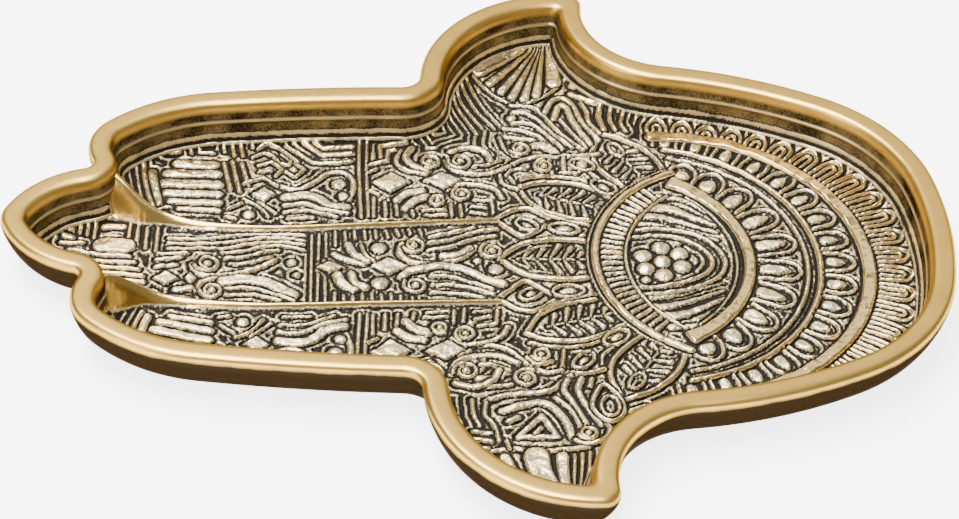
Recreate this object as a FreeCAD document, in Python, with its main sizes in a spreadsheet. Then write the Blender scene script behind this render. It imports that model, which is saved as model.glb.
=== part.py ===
import FreeCAD, Part
import math
import os
import Sketcher

# Hand-shaped relief dish, cast in one piece of aluminium: fingers to -X, wrist to +X, thumbs to both sides.
# The frame has +Z up and its origin in the middle of the resting face, at the underside of the felt pads.
# Lengths are in millimetres and angles in degrees.  A share is a part of the hand's length.

SIZES = {
    # casting
    "hand_length": 280,
    "total_height": 20,
    "pad_thickness": 1.5,
    "floor_thickness": 2.8,
    "rim_width": 7.4,
    "rim_height": 3.8,
    "base_inset": 11,
    "belly_inset": 3.6,
    "belly_height": 6,
    "wall_draft": 0.8,
    "cove_run": 3,
    "cove_height": 4,
    "notch_radius": 3,
    "root_radius": 6,
    "thumb_tip_radius": 5,
    "cavity_thumb_tip_radius": 2.5,
    "nose_radius": 9.5,
    "cavity_nose_radius": 5,
    "rim_round_share": 0.45,
    # circles of the outline, as shares of the hand's length
    "flank_radius_share": 0.1143,
    "flank_turn": 22.7,
    "fingertip_x_share": -0.3618,
    "fingertip_y_share": 0.1193,
    "fingertip_radius_share": 0.0564,
    "finger_shoulder_radius_share": 0.1946,
    "finger_side_x_share": -0.0464,
    "finger_side_y_share": 0.2279,
    "finger_side_radius_share": 1.9821,
    "thumb_x_share": 0.1036,
    "thumb_y_share": 0.2389,
    "thumb_radius_share": 0.165,
    "hollow_x_share": 0.2254,
    "hollow_y_share": 0.3725,
    "hollow_radius_share": 0.1,
    "shoulder_radius_share": 0.5357,
    "shoulder_turn": 97.1,
    "heel_radius_share": 0.1964,
    "wrist_radius_share": 0.4404,
    # felt pads
    "pad_radius": 7,
    "pad_palm_x_share": 0.3,
    "pad_palm_y_share": 0.13,
    "pad_finger_x_share": -0.3,
    "pad_finger_y_share": 0.09,
    "pad_thumb_x_share": 0.08,
    "pad_thumb_y_share": 0.25,
    # relief of the palm
    "line_height": 1.6,
    "line_width": 1.8,
    "leaf_line_width": 1.3,
    "petal_height": 1.3,
    "rib_height": 1.2,
    "bead_height": 2,
    "relief_clearance": 0.5,
    "eye_x_share": 0.2196,
    "eye_half_share": 0.1411,
    "eye_left_sag_share": 0.0996,
    "eye_right_sag_share": 0.0768,
    "lash_x_share": 0.1571,
    "lash_radius_share": 0.1296,
    "lash_turn": 50,
    "lash_count": 25,
    "lash_rib_width": 1.5,
    "flower_x_share": 0.1979,
    "flower_ring_share": 0.0225,
    "bead_radius": 2.8,
    "bead_count": 6,
    "iris_x_share": 0.2036,
    "iris_radius_share": 0.0464,
    "iris_gap": 2.2,
    "mandala_x_share": 0.1786,
    "double_ring_radius_share": 0.1735,
    "double_ring_gap": 1.6,
    "double_ring_turn": 74,
    "thick_ring_x_share": 0.2096,
    "thick_ring_radius_share": 0.2025,
    "thick_ring_width": 4.2,
    "thick_ring_turn": 84,
    "inner_petal_count": 10,
    "inner_petal_turn": 54,
    "middle_petal_count": 15,
    "middle_petal_turn": 70,
    "arch_count": 21,
    "arch_turn": 60,
    "petal_line_width": 1.5,
    # bands of the fingers and thumbs
    "band_width": 1.6,
    "wide_band_width": 2.6,
    "fan_rib_tip_width": 0.9,
    "fan_rib_foot_width": 2.4,
    # ridges and bars of the fingers
    "ridge_top_width": 0.9,
    "ridge_foot_depth": 0.5,
    "bar_width": 1.6,
    "side_bar_x_share": -0.125,
    "middle_bar_x_share": -0.175,
    "nail_rib_width": 2.1,
    "nail_rib_gap": 1.3,
    "nail_rib_length_share": 0.05,
    "side_nail_x_share": -0.315,
    "side_nail_y_share": 0.125,
    "middle_nail_x_share": -0.375,
    "nail_rib_count": 4,
}

# Middle lines of the two finger ridges: x and half spacing as shares of the length, the drift of the whole
# pattern to one side, and the crest height and foot width as shares of the cavity's depth.
RIDGE_SHARES = [
    (-0.388, 0.0830, 0.000, 0.86, 0.90),
    (-0.376, 0.0715, 0.000, 0.56, 0.90),
    (-0.352, 0.0655, -0.005, 0.30, 0.70),
    (-0.328, 0.0632, -0.010, 0.19, 0.46),
    (-0.290, 0.0615, -0.016, 0.14, 0.30),
    (-0.220, 0.0611, -0.019, 0.12, 0.22),
    (-0.110, 0.0625, -0.012, 0.12, 0.20),
    (0.020, 0.0650, -0.004, 0.11, 0.18),
]

# Pointed leaves between the palm and the fingers: tip x and y, foot x and y, and half width, as shares.
LEAF_SHARES = [
    (0.0290, 0.000, 0.1000, 0.000, 0.0330),
    (0.0300, 0.060, 0.0760, 0.054, 0.0160),
    (0.0590, 0.095, 0.1300, 0.078, 0.0300),
    (0.1430, 0.205, 0.1800, 0.130, 0.0310),
]

# Curls on the side fingers and on the middle finger: x, y and radius, as shares.
SCROLL_SHARES = [
    (-0.238, 0.128, 0.0160),
    (-0.050, 0.164, 0.0120),
    (-0.010, 0.158, 0.0140),
    (-0.014, 0.108, 0.0120),
    (0.076, 0.153, 0.0110),
]
MIDDLE_SCROLL_SHARES = [
    (-0.284, -0.012, 0.0115),
    (-0.062, 0.012, 0.0090),
    (0.011, 0.012, 0.0100),
    (-0.066, -0.044, 0.0100),
]

# Diamonds of the middle finger and of the side fingers: x, y, half length and half width, as shares.
MIDDLE_DIAMOND_SHARES = [
    (-0.143, 0.000, 0.020, 0.012),
    (-0.095, 0.000, 0.016, 0.012),
]
SIDE_DIAMOND_SHARES = [
    (-0.091, 0.132, 0.020, 0.0125),
    (-0.045, 0.134, 0.020, 0.0125),
]

# Stepped lines on the outer half of each side finger, as corners in shares.
MEANDER_SHARES = [
    [(-0.256, 0.169), (-0.256, 0.154), (-0.240, 0.154), (-0.240, 0.168), (-0.222, 0.168), (-0.222, 0.152)],
    [(-0.204, 0.172), (-0.204, 0.156), (-0.188, 0.156), (-0.188, 0.172), (-0.168, 0.172), (-0.168, 0.154)],
    [(-0.108, 0.176), (-0.108, 0.160), (-0.092, 0.160), (-0.092, 0.174), (-0.072, 0.174)],
]

# Bands on the middle finger and on each side finger: the size of their width, and their points as shares.
MIDDLE_BAND_SHARES = [
    ("band_width", [(-0.077, 0.022), (-0.077, 0.008), (-0.066, -0.002), (-0.051, -0.009), (-0.030, -0.006),
                    (-0.014, 0.004), (-0.003, 0.019)]),
    ("band_width", [(-0.052, 0.025), (-0.029, 0.031), (-0.004, 0.042), (0.018, 0.047)]),
    ("band_width", [(-0.044, 0.013), (-0.029, 0.018), (-0.005, 0.030), (0.018, 0.035)]),
    ("wide_band_width", [(-0.077, -0.027), (-0.057, -0.021), (-0.041, -0.018), (-0.021, -0.020),
                         (-0.005, -0.027), (0.009, -0.035), (0.023, -0.041)]),
    ("band_width", [(-0.050, -0.034), (-0.029, -0.034), (-0.007, -0.042), (0.013, -0.050)]),
    ("band_width", [(-0.049, -0.047), (-0.025, -0.047), (-0.002, -0.054)]),
    ("band_width", [(-0.307, 0.024), (-0.264, 0.026), (-0.221, 0.030), (-0.189, 0.030)]),
    ("band_width", [(-0.314, 0.011), (-0.271, 0.012), (-0.236, 0.020), (-0.189, 0.018)]),
    ("band_width", [(-0.300, -0.011), (-0.300, -0.025), (-0.287, -0.034), (-0.268, -0.033), (-0.246, -0.027),
                    (-0.227, -0.018), (-0.212, -0.007)]),
    ("wide_band_width", [(-0.268, -0.045), (-0.246, -0.041), (-0.224, -0.044), (-0.208, -0.053),
                         (-0.193, -0.062)]),
    ("band_width", [(-0.264, -0.059), (-0.236, -0.057), (-0.214, -0.064)]),
]
SIDE_BAND_SHARES = [
    ("band_width", [(-0.213, 0.111), (-0.193, 0.109), (-0.175, 0.122), (-0.161, 0.135), (-0.150, 0.136),
                    (-0.144, 0.127), (-0.143, 0.112), (-0.147, 0.099)]),
    ("wide_band_width", [(-0.094, 0.087), (-0.081, 0.103), (-0.063, 0.112)]),
    ("band_width", [(0.005, 0.122), (0.019, 0.116), (0.028, 0.102)]),
    ("band_width", [(-0.032, 0.163), (-0.030, 0.149), (-0.014, 0.140), (0.012, 0.141)]),
]

# The pattern drifts towards -Y, so the bands next to the ridges differ: those of the +Y finger come first.
RIDGE_SIDE_BAND_SHARES = [
    ("wide_band_width", [(-0.207, 0.095), (-0.186, 0.099), (-0.169, 0.094), (-0.159, 0.083),
                         (-0.143, 0.080)]),
    ("band_width", [(-0.207, 0.080), (-0.186, 0.083), (-0.166, 0.074), (-0.143, 0.067)]),
    ("wide_band_width", [(-0.079, 0.073), (-0.066, 0.088), (-0.050, 0.098)]),
    ("band_width", [(-0.112, 0.070), (-0.111, 0.100)]),
    ("band_width", [(-0.098, 0.067), (-0.098, 0.078)]),
    ("band_width", [(-0.057, 0.072), (-0.030, 0.077)]),
    ("band_width", [(-0.207, -0.097), (-0.186, -0.099), (-0.172, -0.098), (-0.159, -0.092)]),
    ("wide_band_width", [(-0.079, -0.088), (-0.066, -0.094), (-0.050, -0.103)]),
]

# Bands of each thumb, and its fan of ribs: inner end x and y and outer end x and y, as shares.
THUMB_BAND_SHARES = [
    ("band_width", [(0.006, 0.303), (0.019, 0.278), (0.036, 0.266), (0.054, 0.261), (0.075, 0.267),
                    (0.089, 0.277), (0.101, 0.295)]),
    ("band_width", [(0.084, 0.245), (0.088, 0.257), (0.099, 0.266), (0.109, 0.258), (0.119, 0.237),
                    (0.131, 0.216)]),
    ("band_width", [(0.099, 0.246), (0.112, 0.225), (0.125, 0.200)]),
    ("band_width", [(0.045, 0.248), (0.063, 0.246), (0.075, 0.233), (0.089, 0.211), (0.109, 0.188)]),
    ("band_width", [(0.044, 0.230), (0.064, 0.227), (0.079, 0.213), (0.097, 0.187)]),
    ("band_width", [(0.034, 0.218), (0.051, 0.214), (0.069, 0.204), (0.083, 0.187)]),
    ("band_width", [(-0.004, 0.286), (0.003, 0.264), (0.015, 0.240), (0.028, 0.222)]),
    ("band_width", [(-0.011, 0.273), (-0.006, 0.252), (0.005, 0.231), (0.017, 0.213)]),
    ("band_width", [(0.120, 0.270), (0.131, 0.255), (0.130, 0.236), (0.139, 0.219)]),
    ("band_width", [(0.025, 0.141), (0.047, 0.160), (0.067, 0.169), (0.103, 0.171), (0.122, 0.172)]),
    ("band_width", [(0.029, 0.203), (0.033, 0.184), (0.046, 0.169)]),
    ("band_width", [(0.009, 0.202), (0.010, 0.186), (0.021, 0.170)]),
]
FAN_RIB_SHARES = [
    (0.055, 0.347, 0.020, 0.326),
    (0.061, 0.345, 0.022, 0.303),
    (0.067, 0.343, 0.034, 0.288),
    (0.073, 0.341, 0.047, 0.278),
    (0.078, 0.339, 0.061, 0.275),
    (0.083, 0.336, 0.077, 0.281),
    (0.088, 0.330, 0.091, 0.301),
]
CURL_TURN = 270
CURL_BEAD_SHARE = 0.32

# How far each row of arches may widen, how much of it is line, and where a leaf's stem and twigs sit, as
# shares of their own run.
ARCH_WIDTH_SHARE = 0.6
ARCH_LINE_SHARE = 0.7
STEM_SHARES = (0.25, 0.8)
TWIG_SHARES = (0.35, 0.5, 0.65)
TWIG_REACH_SHARE = 0.7
TWIG_LEAN_SHARE = 0.7


class Size:
    """A number together with the cell formula that gives it."""

    def __init__(self, value, text):
        self.value = value
        self.text = text

    def join(self, other, sign, result):
        return Size(result, f"({self.text} {sign} {text_of(other)})")

    def __add__(self, other):
        return self.join(other, "+", self.value + value_of(other))

    def __sub__(self, other):
        return self.join(other, "-", self.value - value_of(other))

    def __mul__(self, other):
        return self.join(other, "*", self.value * value_of(other))

    def __truediv__(self, other):
        return self.join(other, "/", self.value / value_of(other))

    def __rmul__(self, other):
        return self * other

    def __neg__(self):
        return Size(-self.value, f"(-1 * {self.text})")


def value_of(size):
    return size.value if isinstance(size, Size) else size


def text_of(size):
    return size.text if isinstance(size, Size) else f"{size:.6f}"


def cosine(turn):
    return Size(math.cos(math.radians(turn.value)), f"cos({turn.text})")


def sine(turn):
    return Size(math.sin(math.radians(turn.value)), f"sin({turn.text})")


doc = FreeCAD.newDocument("hand_dish")
sheet = doc.addObject("Spreadsheet::Sheet", "Sizes")
for row, (alias, value) in enumerate(SIZES.items(), start=1):
    sheet.set(f"A{row}", alias)
    sheet.set(f"B{row}", str(value))
    sheet.setAlias(f"B{row}", alias)
doc.recompute()


def cell(alias):
    """One cell of the sheet, as a size."""
    return Size(float(sheet.get(alias)), f"Sizes.{alias}")


def along(alias):
    """A share of the hand's length, as a size."""
    return cell("hand_length") * cell(alias)


length = cell("hand_length")
half_length = length / 2
floor_level = cell("pad_thickness") + cell("floor_thickness")
rim_level = cell("total_height") - cell("rim_height")
cavity_depth = cell("total_height") - floor_level
floor_inset = cell("rim_width") + cell("wall_draft") + cell("cove_run")


# Bodies and sketches

def new_body(label):
    body = doc.addObject("PartDesign::Body", label)
    body.Label = label
    return body


def origin_plane(body, role):
    for feature in body.Origin.OriginFeatures:
        if feature.Role == role:
            return feature
    raise ValueError(f"{body.Label} has no {role}")


def new_sketch(body, name, level, plane="XY_Plane"):
    """A sketch on one of the body's own planes, moved along the plane's normal by a size."""
    sketch = body.newObject("Sketcher::SketchObject", f"{body.Label}_{name}")
    sketch.AttachmentSupport = [(origin_plane(body, plane), "")]
    sketch.MapMode = "FlatFace"
    sketch.AttachmentOffset = FreeCAD.Placement(FreeCAD.Vector(0, 0, level.value), FreeCAD.Rotation())
    sketch.setExpression("AttachmentOffset.Base.z", level.text)
    return sketch


def tie(sketch, kind, geometry, *rest):
    """Add a measured constraint whose value is a size; the size is the last item."""
    *points, size = rest
    index = sketch.addConstraint(Sketcher.Constraint(kind, geometry, *points, size.value))
    sketch.setExpression(f"Constraints[{index}]", size.text)


def tie_point(sketch, geometry, point, x, y):
    tie(sketch, "DistanceX", geometry, point, x)
    tie(sketch, "DistanceY", geometry, point, y)


def vector(point, z=0.0):
    return FreeCAD.Vector(value_of(point[0]), value_of(point[1]), z)


def arc_between(centre, radius, start, end):
    """The short arc about centre that runs anticlockwise from start to end, and whether ends were swapped."""
    angles = [math.atan2(p[1] - centre[1], p[0] - centre[0]) for p in (start, end)]
    turn = (angles[1] - angles[0]) % (2 * math.pi)
    swapped = turn > math.pi
    if swapped:
        angles.reverse()
    circle = Part.Circle(FreeCAD.Vector(centre[0], centre[1], 0), FreeCAD.Vector(0, 0, 1), radius)
    return Part.ArcOfCircle(circle, angles[0], angles[1]), swapped


def centre_of_bend(start, end, radius):
    """Centre of the short arc from start to end; a positive radius turns left."""
    half = math.dist(start, end) / 2
    rise = math.sqrt(max(radius * radius - half * half, 0.0))
    unit = ((end[0] - start[0]) / (2 * half), (end[1] - start[1]) / (2 * half))
    side = 1 if radius > 0 else -1
    middle = ((start[0] + end[0]) / 2, (start[1] + end[1]) / 2)
    return middle[0] - side * unit[1] * rise, middle[1] + side * unit[0] * rise


def add_loop(sketch, corners):
    """A closed loop of corners (x, y, bend), where bend is the radius of the side that follows or None."""
    first = sketch.GeometryCount
    ends = []
    for index, (x, y, bend) in enumerate(corners):
        after = corners[(index + 1) % len(corners)]
        start, end = (x.value, y.value), (after[0].value, after[1].value)
        if bend is None:
            sketch.addGeometry(Part.LineSegment(vector(start), vector(end)))
            swapped = False
        else:
            centre = centre_of_bend(start, end, bend.value)
            arc, swapped = arc_between(centre, abs(bend.value), start, end)
            sketch.addGeometry(arc)
            tie(sketch, "Radius", first + index, bend if bend.value > 0 else -bend)
        ends.append((2, 1) if swapped else (1, 2))
    for index, (x, y, bend) in enumerate(corners):
        before = index - 1 if index else len(corners) - 1
        sketch.addConstraint(
            Sketcher.Constraint("Coincident", first + before, ends[before][1], first + index, ends[index][0])
        )
        tie_point(sketch, first + index, ends[index][0], x, y)


def add_circle(sketch, x, y, radius):
    circle = Part.Circle(vector((x, y)), FreeCAD.Vector(0, 0, 1), radius.value)
    index = sketch.addGeometry(circle)
    tie_point(sketch, index, 3, x, y)
    tie(sketch, "Radius", index, radius)


def add_pad(body, name, sketch, height):
    pad = body.newObject("PartDesign::Pad", f"{body.Label}_{name}")
    pad.Profile = sketch
    pad.setExpression("Length", height.text)
    sketch.Visibility = False
    return pad


def place_body(body, x, z):
    body.setExpression("Placement.Base.x", x.text)
    body.setExpression("Placement.Base.z", z.text)


# Outline of the hand

def tangent_centre(one, two, radius, sense, side):
    """Centre of a circle that touches two others; a sense of 1 is a round that bulges out of the hand."""
    (x1, y1, r1, s1), (x2, y2, r2, s2) = one, two
    d1 = abs(r1 - radius) if s1 == sense else r1 + radius
    d2 = abs(r2 - radius) if s2 == sense else r2 + radius
    gap = math.hypot(x2 - x1, y2 - y1)
    reach = (d1 * d1 - d2 * d2 + gap * gap) / (2 * gap)
    rise = math.sqrt(max(d1 * d1 - reach * reach, 0.0))
    ux, uy = (x2 - x1) / gap, (y2 - y1) / gap
    return x1 + ux * reach - side * uy * rise, y1 + uy * reach + side * ux * rise


def touch_point(one, two):
    """Point where two circles touch."""
    (x1, y1, r1, s1), (x2, y2, r2, s2) = one, two
    gap = math.hypot(x2 - x1, y2 - y1)
    sign = -1 if s1 == s2 and r1 < r2 else 1
    return x1 + sign * r1 * (x2 - x1) / gap, y1 + sign * r1 * (y2 - y1) / gap


def hand_circles(inset, nose_radius, tip_radius):
    """Circles of one half of the outline, from the middle fingertip to the wrist, moved inwards by inset.

    Each is (name, x, y, radius, sense, side). A round between two others has no x and y of its own.
    """
    flank = along("flank_radius_share")
    nose = cell("nose_radius")
    flank_x = nose - half_length + (flank - nose) * cosine(cell("flank_turn"))
    flank_y = -((flank - nose) * sine(cell("flank_turn")))
    side_radius = along("finger_side_radius_share")
    hollow_x, hollow_y = along("hollow_x_share"), along("hollow_y_share")
    hollow, shoulder = along("hollow_radius_share"), along("shoulder_radius_share")
    shoulder_x = hollow_x + (hollow + shoulder) * cosine(cell("shoulder_turn"))
    wrist = along("wrist_radius_share")
    return [
        ("nose", None, None, nose_radius, 1, 0),
        ("flank", flank_x, flank_y, flank - inset, 1, 0),
        ("notch", None, None, cell("notch_radius") + inset, -1, 1),
        ("fingertip", along("fingertip_x_share"), along("fingertip_y_share"),
         along("fingertip_radius_share") - inset, 1, 0),
        ("finger_shoulder", None, None, along("finger_shoulder_radius_share") - inset, 1, 1),
        ("finger_side", along("finger_side_x_share"), along("finger_side_y_share") - side_radius,
         side_radius - inset, 1, 0),
        ("root", None, None, cell("root_radius") + inset, -1, 1),
        ("thumb", along("thumb_x_share"), along("thumb_y_share"), along("thumb_radius_share") - inset, 1, 0),
        ("thumb_tip", None, None, tip_radius, 1, 1),
        ("hollow", hollow_x, hollow_y, hollow + inset, -1, 0),
        ("shoulder", shoulder_x, None, shoulder - inset, 1, 0),
        ("heel", None, None, along("heel_radius_share") - inset, 1, -1),
        ("wrist", half_length - wrist, Size(0.0, "0"), wrist - inset, 1, 0),
    ]


def solved_circles(circles):
    """The same circles as plain numbers, with the places of the rounds worked out."""
    solved = []
    for name, x, y, radius, sense, side in circles:
        place = None if x is None else (x.value, 0.0 if y is None else y.value)
        solved.append([place, radius.value, sense])
    names = [circle[0] for circle in circles]
    hollow, shoulder = names.index("hollow"), names.index("shoulder")
    turn = math.radians(cell("shoulder_turn").value)
    reach = solved[hollow][1] + solved[shoulder][1]
    hollow_x, hollow_y = solved[hollow][0]
    solved[shoulder][0] = (hollow_x + reach * math.cos(turn), hollow_y - reach * math.sin(turn))
    flank_x, flank_y = solved[1][0]
    run = solved[1][1] - solved[0][1]
    solved[0][0] = (flank_x - math.sqrt(max(run * run - flank_y * flank_y, 0.0)), 0.0)
    flat = [None if place is None else (*place, radius, sense) for place, radius, sense in solved]
    for index, circle in enumerate(circles):
        if flat[index] is None:
            centre = tangent_centre(flat[index - 1], flat[index + 1], solved[index][1], circle[4], circle[5])
            flat[index] = (*centre, solved[index][1], circle[4])
    return flat


def add_outline(sketch, inset, nose_radius, tip_radius):
    """The whole outline: a chain of arcs that touch, with measured centres and radii."""
    circles = hand_circles(inset, nose_radius, tip_radius)
    solved = solved_circles(circles)
    last = len(circles) - 1
    chain = [(index, 1) for index in range(last + 1)] + [(index, -1) for index in range(last - 1, 0, -1)]
    touches = []
    for (one, side_one), (two, side_two) in zip(chain, chain[1:] + chain[:1]):
        side = side_one if 0 < one < last else side_two
        point = touch_point(solved[one], solved[two])
        touches.append((point[0], side * point[1]))
    ends = []
    first = sketch.GeometryCount
    for place, (index, side) in enumerate(chain):
        x, y, radius, sense = solved[index]
        start, end = touches[place - 1], touches[place]
        centre = FreeCAD.Vector(x, side * y, 0)
        circle = Part.Circle(centre, FreeCAD.Vector(0, 0, 1), radius)
        angles = [math.atan2(p[1] - centre.y, p[0] - centre.x) for p in (start, end)]
        # the chain runs clockwise round the hand, so a bulging arc does too
        if sense > 0:
            angles.reverse()
        sketch.addGeometry(Part.ArcOfCircle(circle, angles[0], angles[1]))
        ends.append((2, 1) if sense > 0 else (1, 2))
    for place, (index, side) in enumerate(chain):
        after = (place + 1) % len(chain)
        sketch.addConstraint(
            Sketcher.Constraint("Tangent", first + place, ends[place][1], first + after, ends[after][0])
        )
    for place, (index, side) in enumerate(chain):
        name, x, y, radius, sense, _ = circles[index]
        tie(sketch, "Radius", first + place, radius)
        if x is not None:
            tie(sketch, "DistanceX", first + place, 3, x)
        if x is not None and y is not None:
            tie(sketch, "DistanceY", first + place, 3, y if side > 0 else -y)


nose_now = cell("nose_radius")
cavity_nose = cell("cavity_nose_radius")
tip_now = cell("thumb_tip_radius")
cavity_tip = cell("cavity_thumb_tip_radius")
no_inset = Size(0.0, "0")


# Casting: coved underside, upright rim, cavity with drafted wall and cove, and two ridges between the fingers

def loft(body, name, kind, sketches):
    feature = body.newObject(f"PartDesign::{kind}", f"{body.Label}_{name}")
    feature.Profile = sketches[0]
    feature.Sections = sketches[1:]
    feature.Ruled = True
    for sketch in sketches:
        sketch.Visibility = False
    return feature


def level_sketch(body, name, level, inset, nose_radius, tip_radius):
    sketch = new_sketch(body, name, level)
    add_outline(sketch, inset, nose_radius, tip_radius)
    return sketch


def rim_edges(shape, level, outer):
    """Names of the edges round the outside or the inside of the rim's top face."""
    for face in shape.Faces:
        if face.BoundBox.ZMin > level - 1e-6:
            wires = [wire for wire in face.Wires if wire.isSame(face.OuterWire) == outer]
            edges = [edge for wire in wires for edge in wire.Edges]
    names = []
    for index, candidate in enumerate(shape.Edges, start=1):
        if any(candidate.isSame(edge) for edge in edges):
            names.append(f"Edge{index}")
    return names


def round_rim(body, name, outer):
    doc.recompute()
    base = body.Tip
    rounding = body.newObject("PartDesign::Fillet", f"{body.Label}_{name}")
    rounding.Base = (base, rim_edges(base.Shape, cell("total_height").value, outer))
    rounding.setExpression("Radius", (cell("rim_width") * cell("rim_round_share")).text)
    doc.recompute()


def make_ridge(body, name, side):
    """One ridge as a loft through sections that stand across the finger."""
    sketches = []
    for index, (x, spacing, drift, crest, foot) in enumerate(RIDGE_SHARES):
        station = length * x
        sketch = new_sketch(body, f"{name}_{index}", station, "YZ_Plane")
        middle = length * (side * spacing + drift)
        half_foot = cavity_depth * (foot / 2)
        half_top = cell("ridge_top_width") / 2
        low = floor_level - cell("ridge_foot_depth")
        high = floor_level + cavity_depth * crest
        add_loop(sketch, [
            (middle - half_foot, low, None),
            (middle + half_foot, low, None),
            (middle + half_top, high, None),
            (middle - half_top, high, None),
        ])
        sketches.append(sketch)
    return loft(body, name, "AdditiveLoft", sketches)


def make_casting():
    body = new_body("tray_casting")
    base = level_sketch(body, "base", cell("pad_thickness"), cell("base_inset"), cavity_nose, cavity_tip)
    belly = level_sketch(body, "belly", cell("pad_thickness") + cell("belly_height"), cell("belly_inset"),
                         nose_now - cell("belly_inset"), tip_now - cell("belly_inset") / 2)
    parting = level_sketch(body, "parting", rim_level, no_inset, nose_now, tip_now)
    loft(body, "shell", "AdditiveLoft", [base, belly, parting])
    rim = level_sketch(body, "rim", rim_level, no_inset, nose_now, tip_now)
    add_pad(body, "rim_band", rim, cell("rim_height"))
    wall_inset = cell("rim_width") + cell("wall_draft")
    mouth = level_sketch(body, "mouth", cell("total_height"), cell("rim_width"), cavity_nose, cavity_tip)
    wall = level_sketch(body, "wall", floor_level + cell("cove_height"), wall_inset, cavity_nose, cavity_tip)
    floor = level_sketch(body, "floor", floor_level, floor_inset, cavity_nose, cavity_tip)
    loft(body, "cavity", "SubtractiveLoft", [mouth, wall, floor])
    round_rim(body, "outer_round", True)
    round_rim(body, "inner_round", False)
    make_ridge(body, "ridge_left", 1)
    make_ridge(body, "ridge_right", -1)
    return body


def make_pads():
    body = new_body("felt_pads")
    sketch = new_sketch(body, "discs", no_inset)
    for side in (1, -1):
        for name in ("palm", "finger", "thumb"):
            x, y = along(f"pad_{name}_x_share"), along(f"pad_{name}_y_share")
            add_circle(sketch, x, y * side, cell("pad_radius"))
    add_pad(body, "discs_pad", sketch, cell("pad_thickness"))
    return body


# Relief of the palm

def square_root(size):
    return Size(math.sqrt(size.value), f"sqrt({size.text})")


def lens_corners(left_x, left_radius, right_x, right_radius):
    """Corners of the pointed oval that a left and a right arc enclose, given the arcs' centres and radii."""
    gap = left_x - right_x
    offset = (gap * gap + left_radius * left_radius - right_radius * right_radius) / (gap * 2)
    x = left_x - offset
    y = square_root(left_radius * left_radius - offset * offset)
    return x, y


def eye_arcs():
    half, left, right = along("eye_half_share"), along("eye_left_sag_share"), along("eye_right_sag_share")
    left_radius = (half * half + left * left) / (left * 2)
    right_radius = (half * half + right * right) / (right * 2)
    left_x = along("eye_x_share") - left + left_radius
    right_x = along("eye_x_share") + right - right_radius
    return left_x, left_radius, right_x, right_radius


def add_lens(sketch, left_x, left_radius, right_x, right_radius):
    x, y = lens_corners(left_x, left_radius, right_x, right_radius)
    add_loop(sketch, [(x, y, left_radius), (x, -y, right_radius)])


def make_eye_outline():
    body = new_body("eye_outline")
    place_body(body, no_inset, floor_level)
    sketch = new_sketch(body, "lens", no_inset)
    left_x, left_radius, right_x, right_radius = eye_arcs()
    width = cell("line_width")
    add_lens(sketch, left_x, left_radius, right_x, right_radius)
    add_lens(sketch, left_x, left_radius - width, right_x, right_radius - width)
    add_pad(body, "lens_pad", sketch, cell("line_height"))
    return body


def add_sector(sketch, inner, outer, turn):
    """A band of a ring about the sketch's origin, from minus turn to plus turn about +X."""
    x, y = cosine(turn), sine(turn)
    add_loop(sketch, [
        (x * outer, -(y * outer), outer),
        (outer, no_inset, outer),
        (x * outer, y * outer, None),
        (x * inner, y * inner, -inner),
        (inner, no_inset, -inner),
        (x * inner, -(y * inner), None),
    ])


def make_ring(label, centre_x, bands, turn, height):
    body = new_body(label)
    place_body(body, centre_x, floor_level)
    sketch = new_sketch(body, "bands", no_inset)
    for inner, outer in bands:
        add_sector(sketch, inner, outer, turn)
    add_pad(body, "bands_pad", sketch, height)
    return body


def make_double_ring():
    middle = along("double_ring_radius_share")
    width, gap = cell("line_width"), cell("double_ring_gap")
    bands = [(middle, middle + width), (middle + width + gap, middle + width * 2 + gap)]
    return make_ring("double_ring", along("mandala_x_share"), bands, cell("double_ring_turn"),
                     cell("line_height"))


def make_thick_ring():
    inner = along("thick_ring_radius_share")
    bands = [(inner, inner + cell("thick_ring_width"))]
    return make_ring("thick_ring", along("thick_ring_x_share"), bands, cell("thick_ring_turn"),
                     cell("line_height"))


def make_lash_line():
    """The inner edge of the band of lashes, drawn as a ring about a centre to its right."""
    radius = along("lash_radius_share")
    body = new_body("lash_line")
    place_body(body, along("lash_x_share") + radius, floor_level)
    sketch = new_sketch(body, "band", no_inset)
    outer, inner = radius + cell("line_width"), radius
    x, y = cosine(cell("lash_turn")), sine(cell("lash_turn"))
    add_loop(sketch, [
        (-(x * outer), y * outer, outer),
        (-outer, no_inset, outer),
        (-(x * outer), -(y * outer), None),
        (-(x * inner), -(y * inner), -inner),
        (-inner, no_inset, -inner),
        (-(x * inner), y * inner, None),
    ])
    add_pad(body, "band_pad", sketch, cell("line_height"))
    return body


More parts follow.
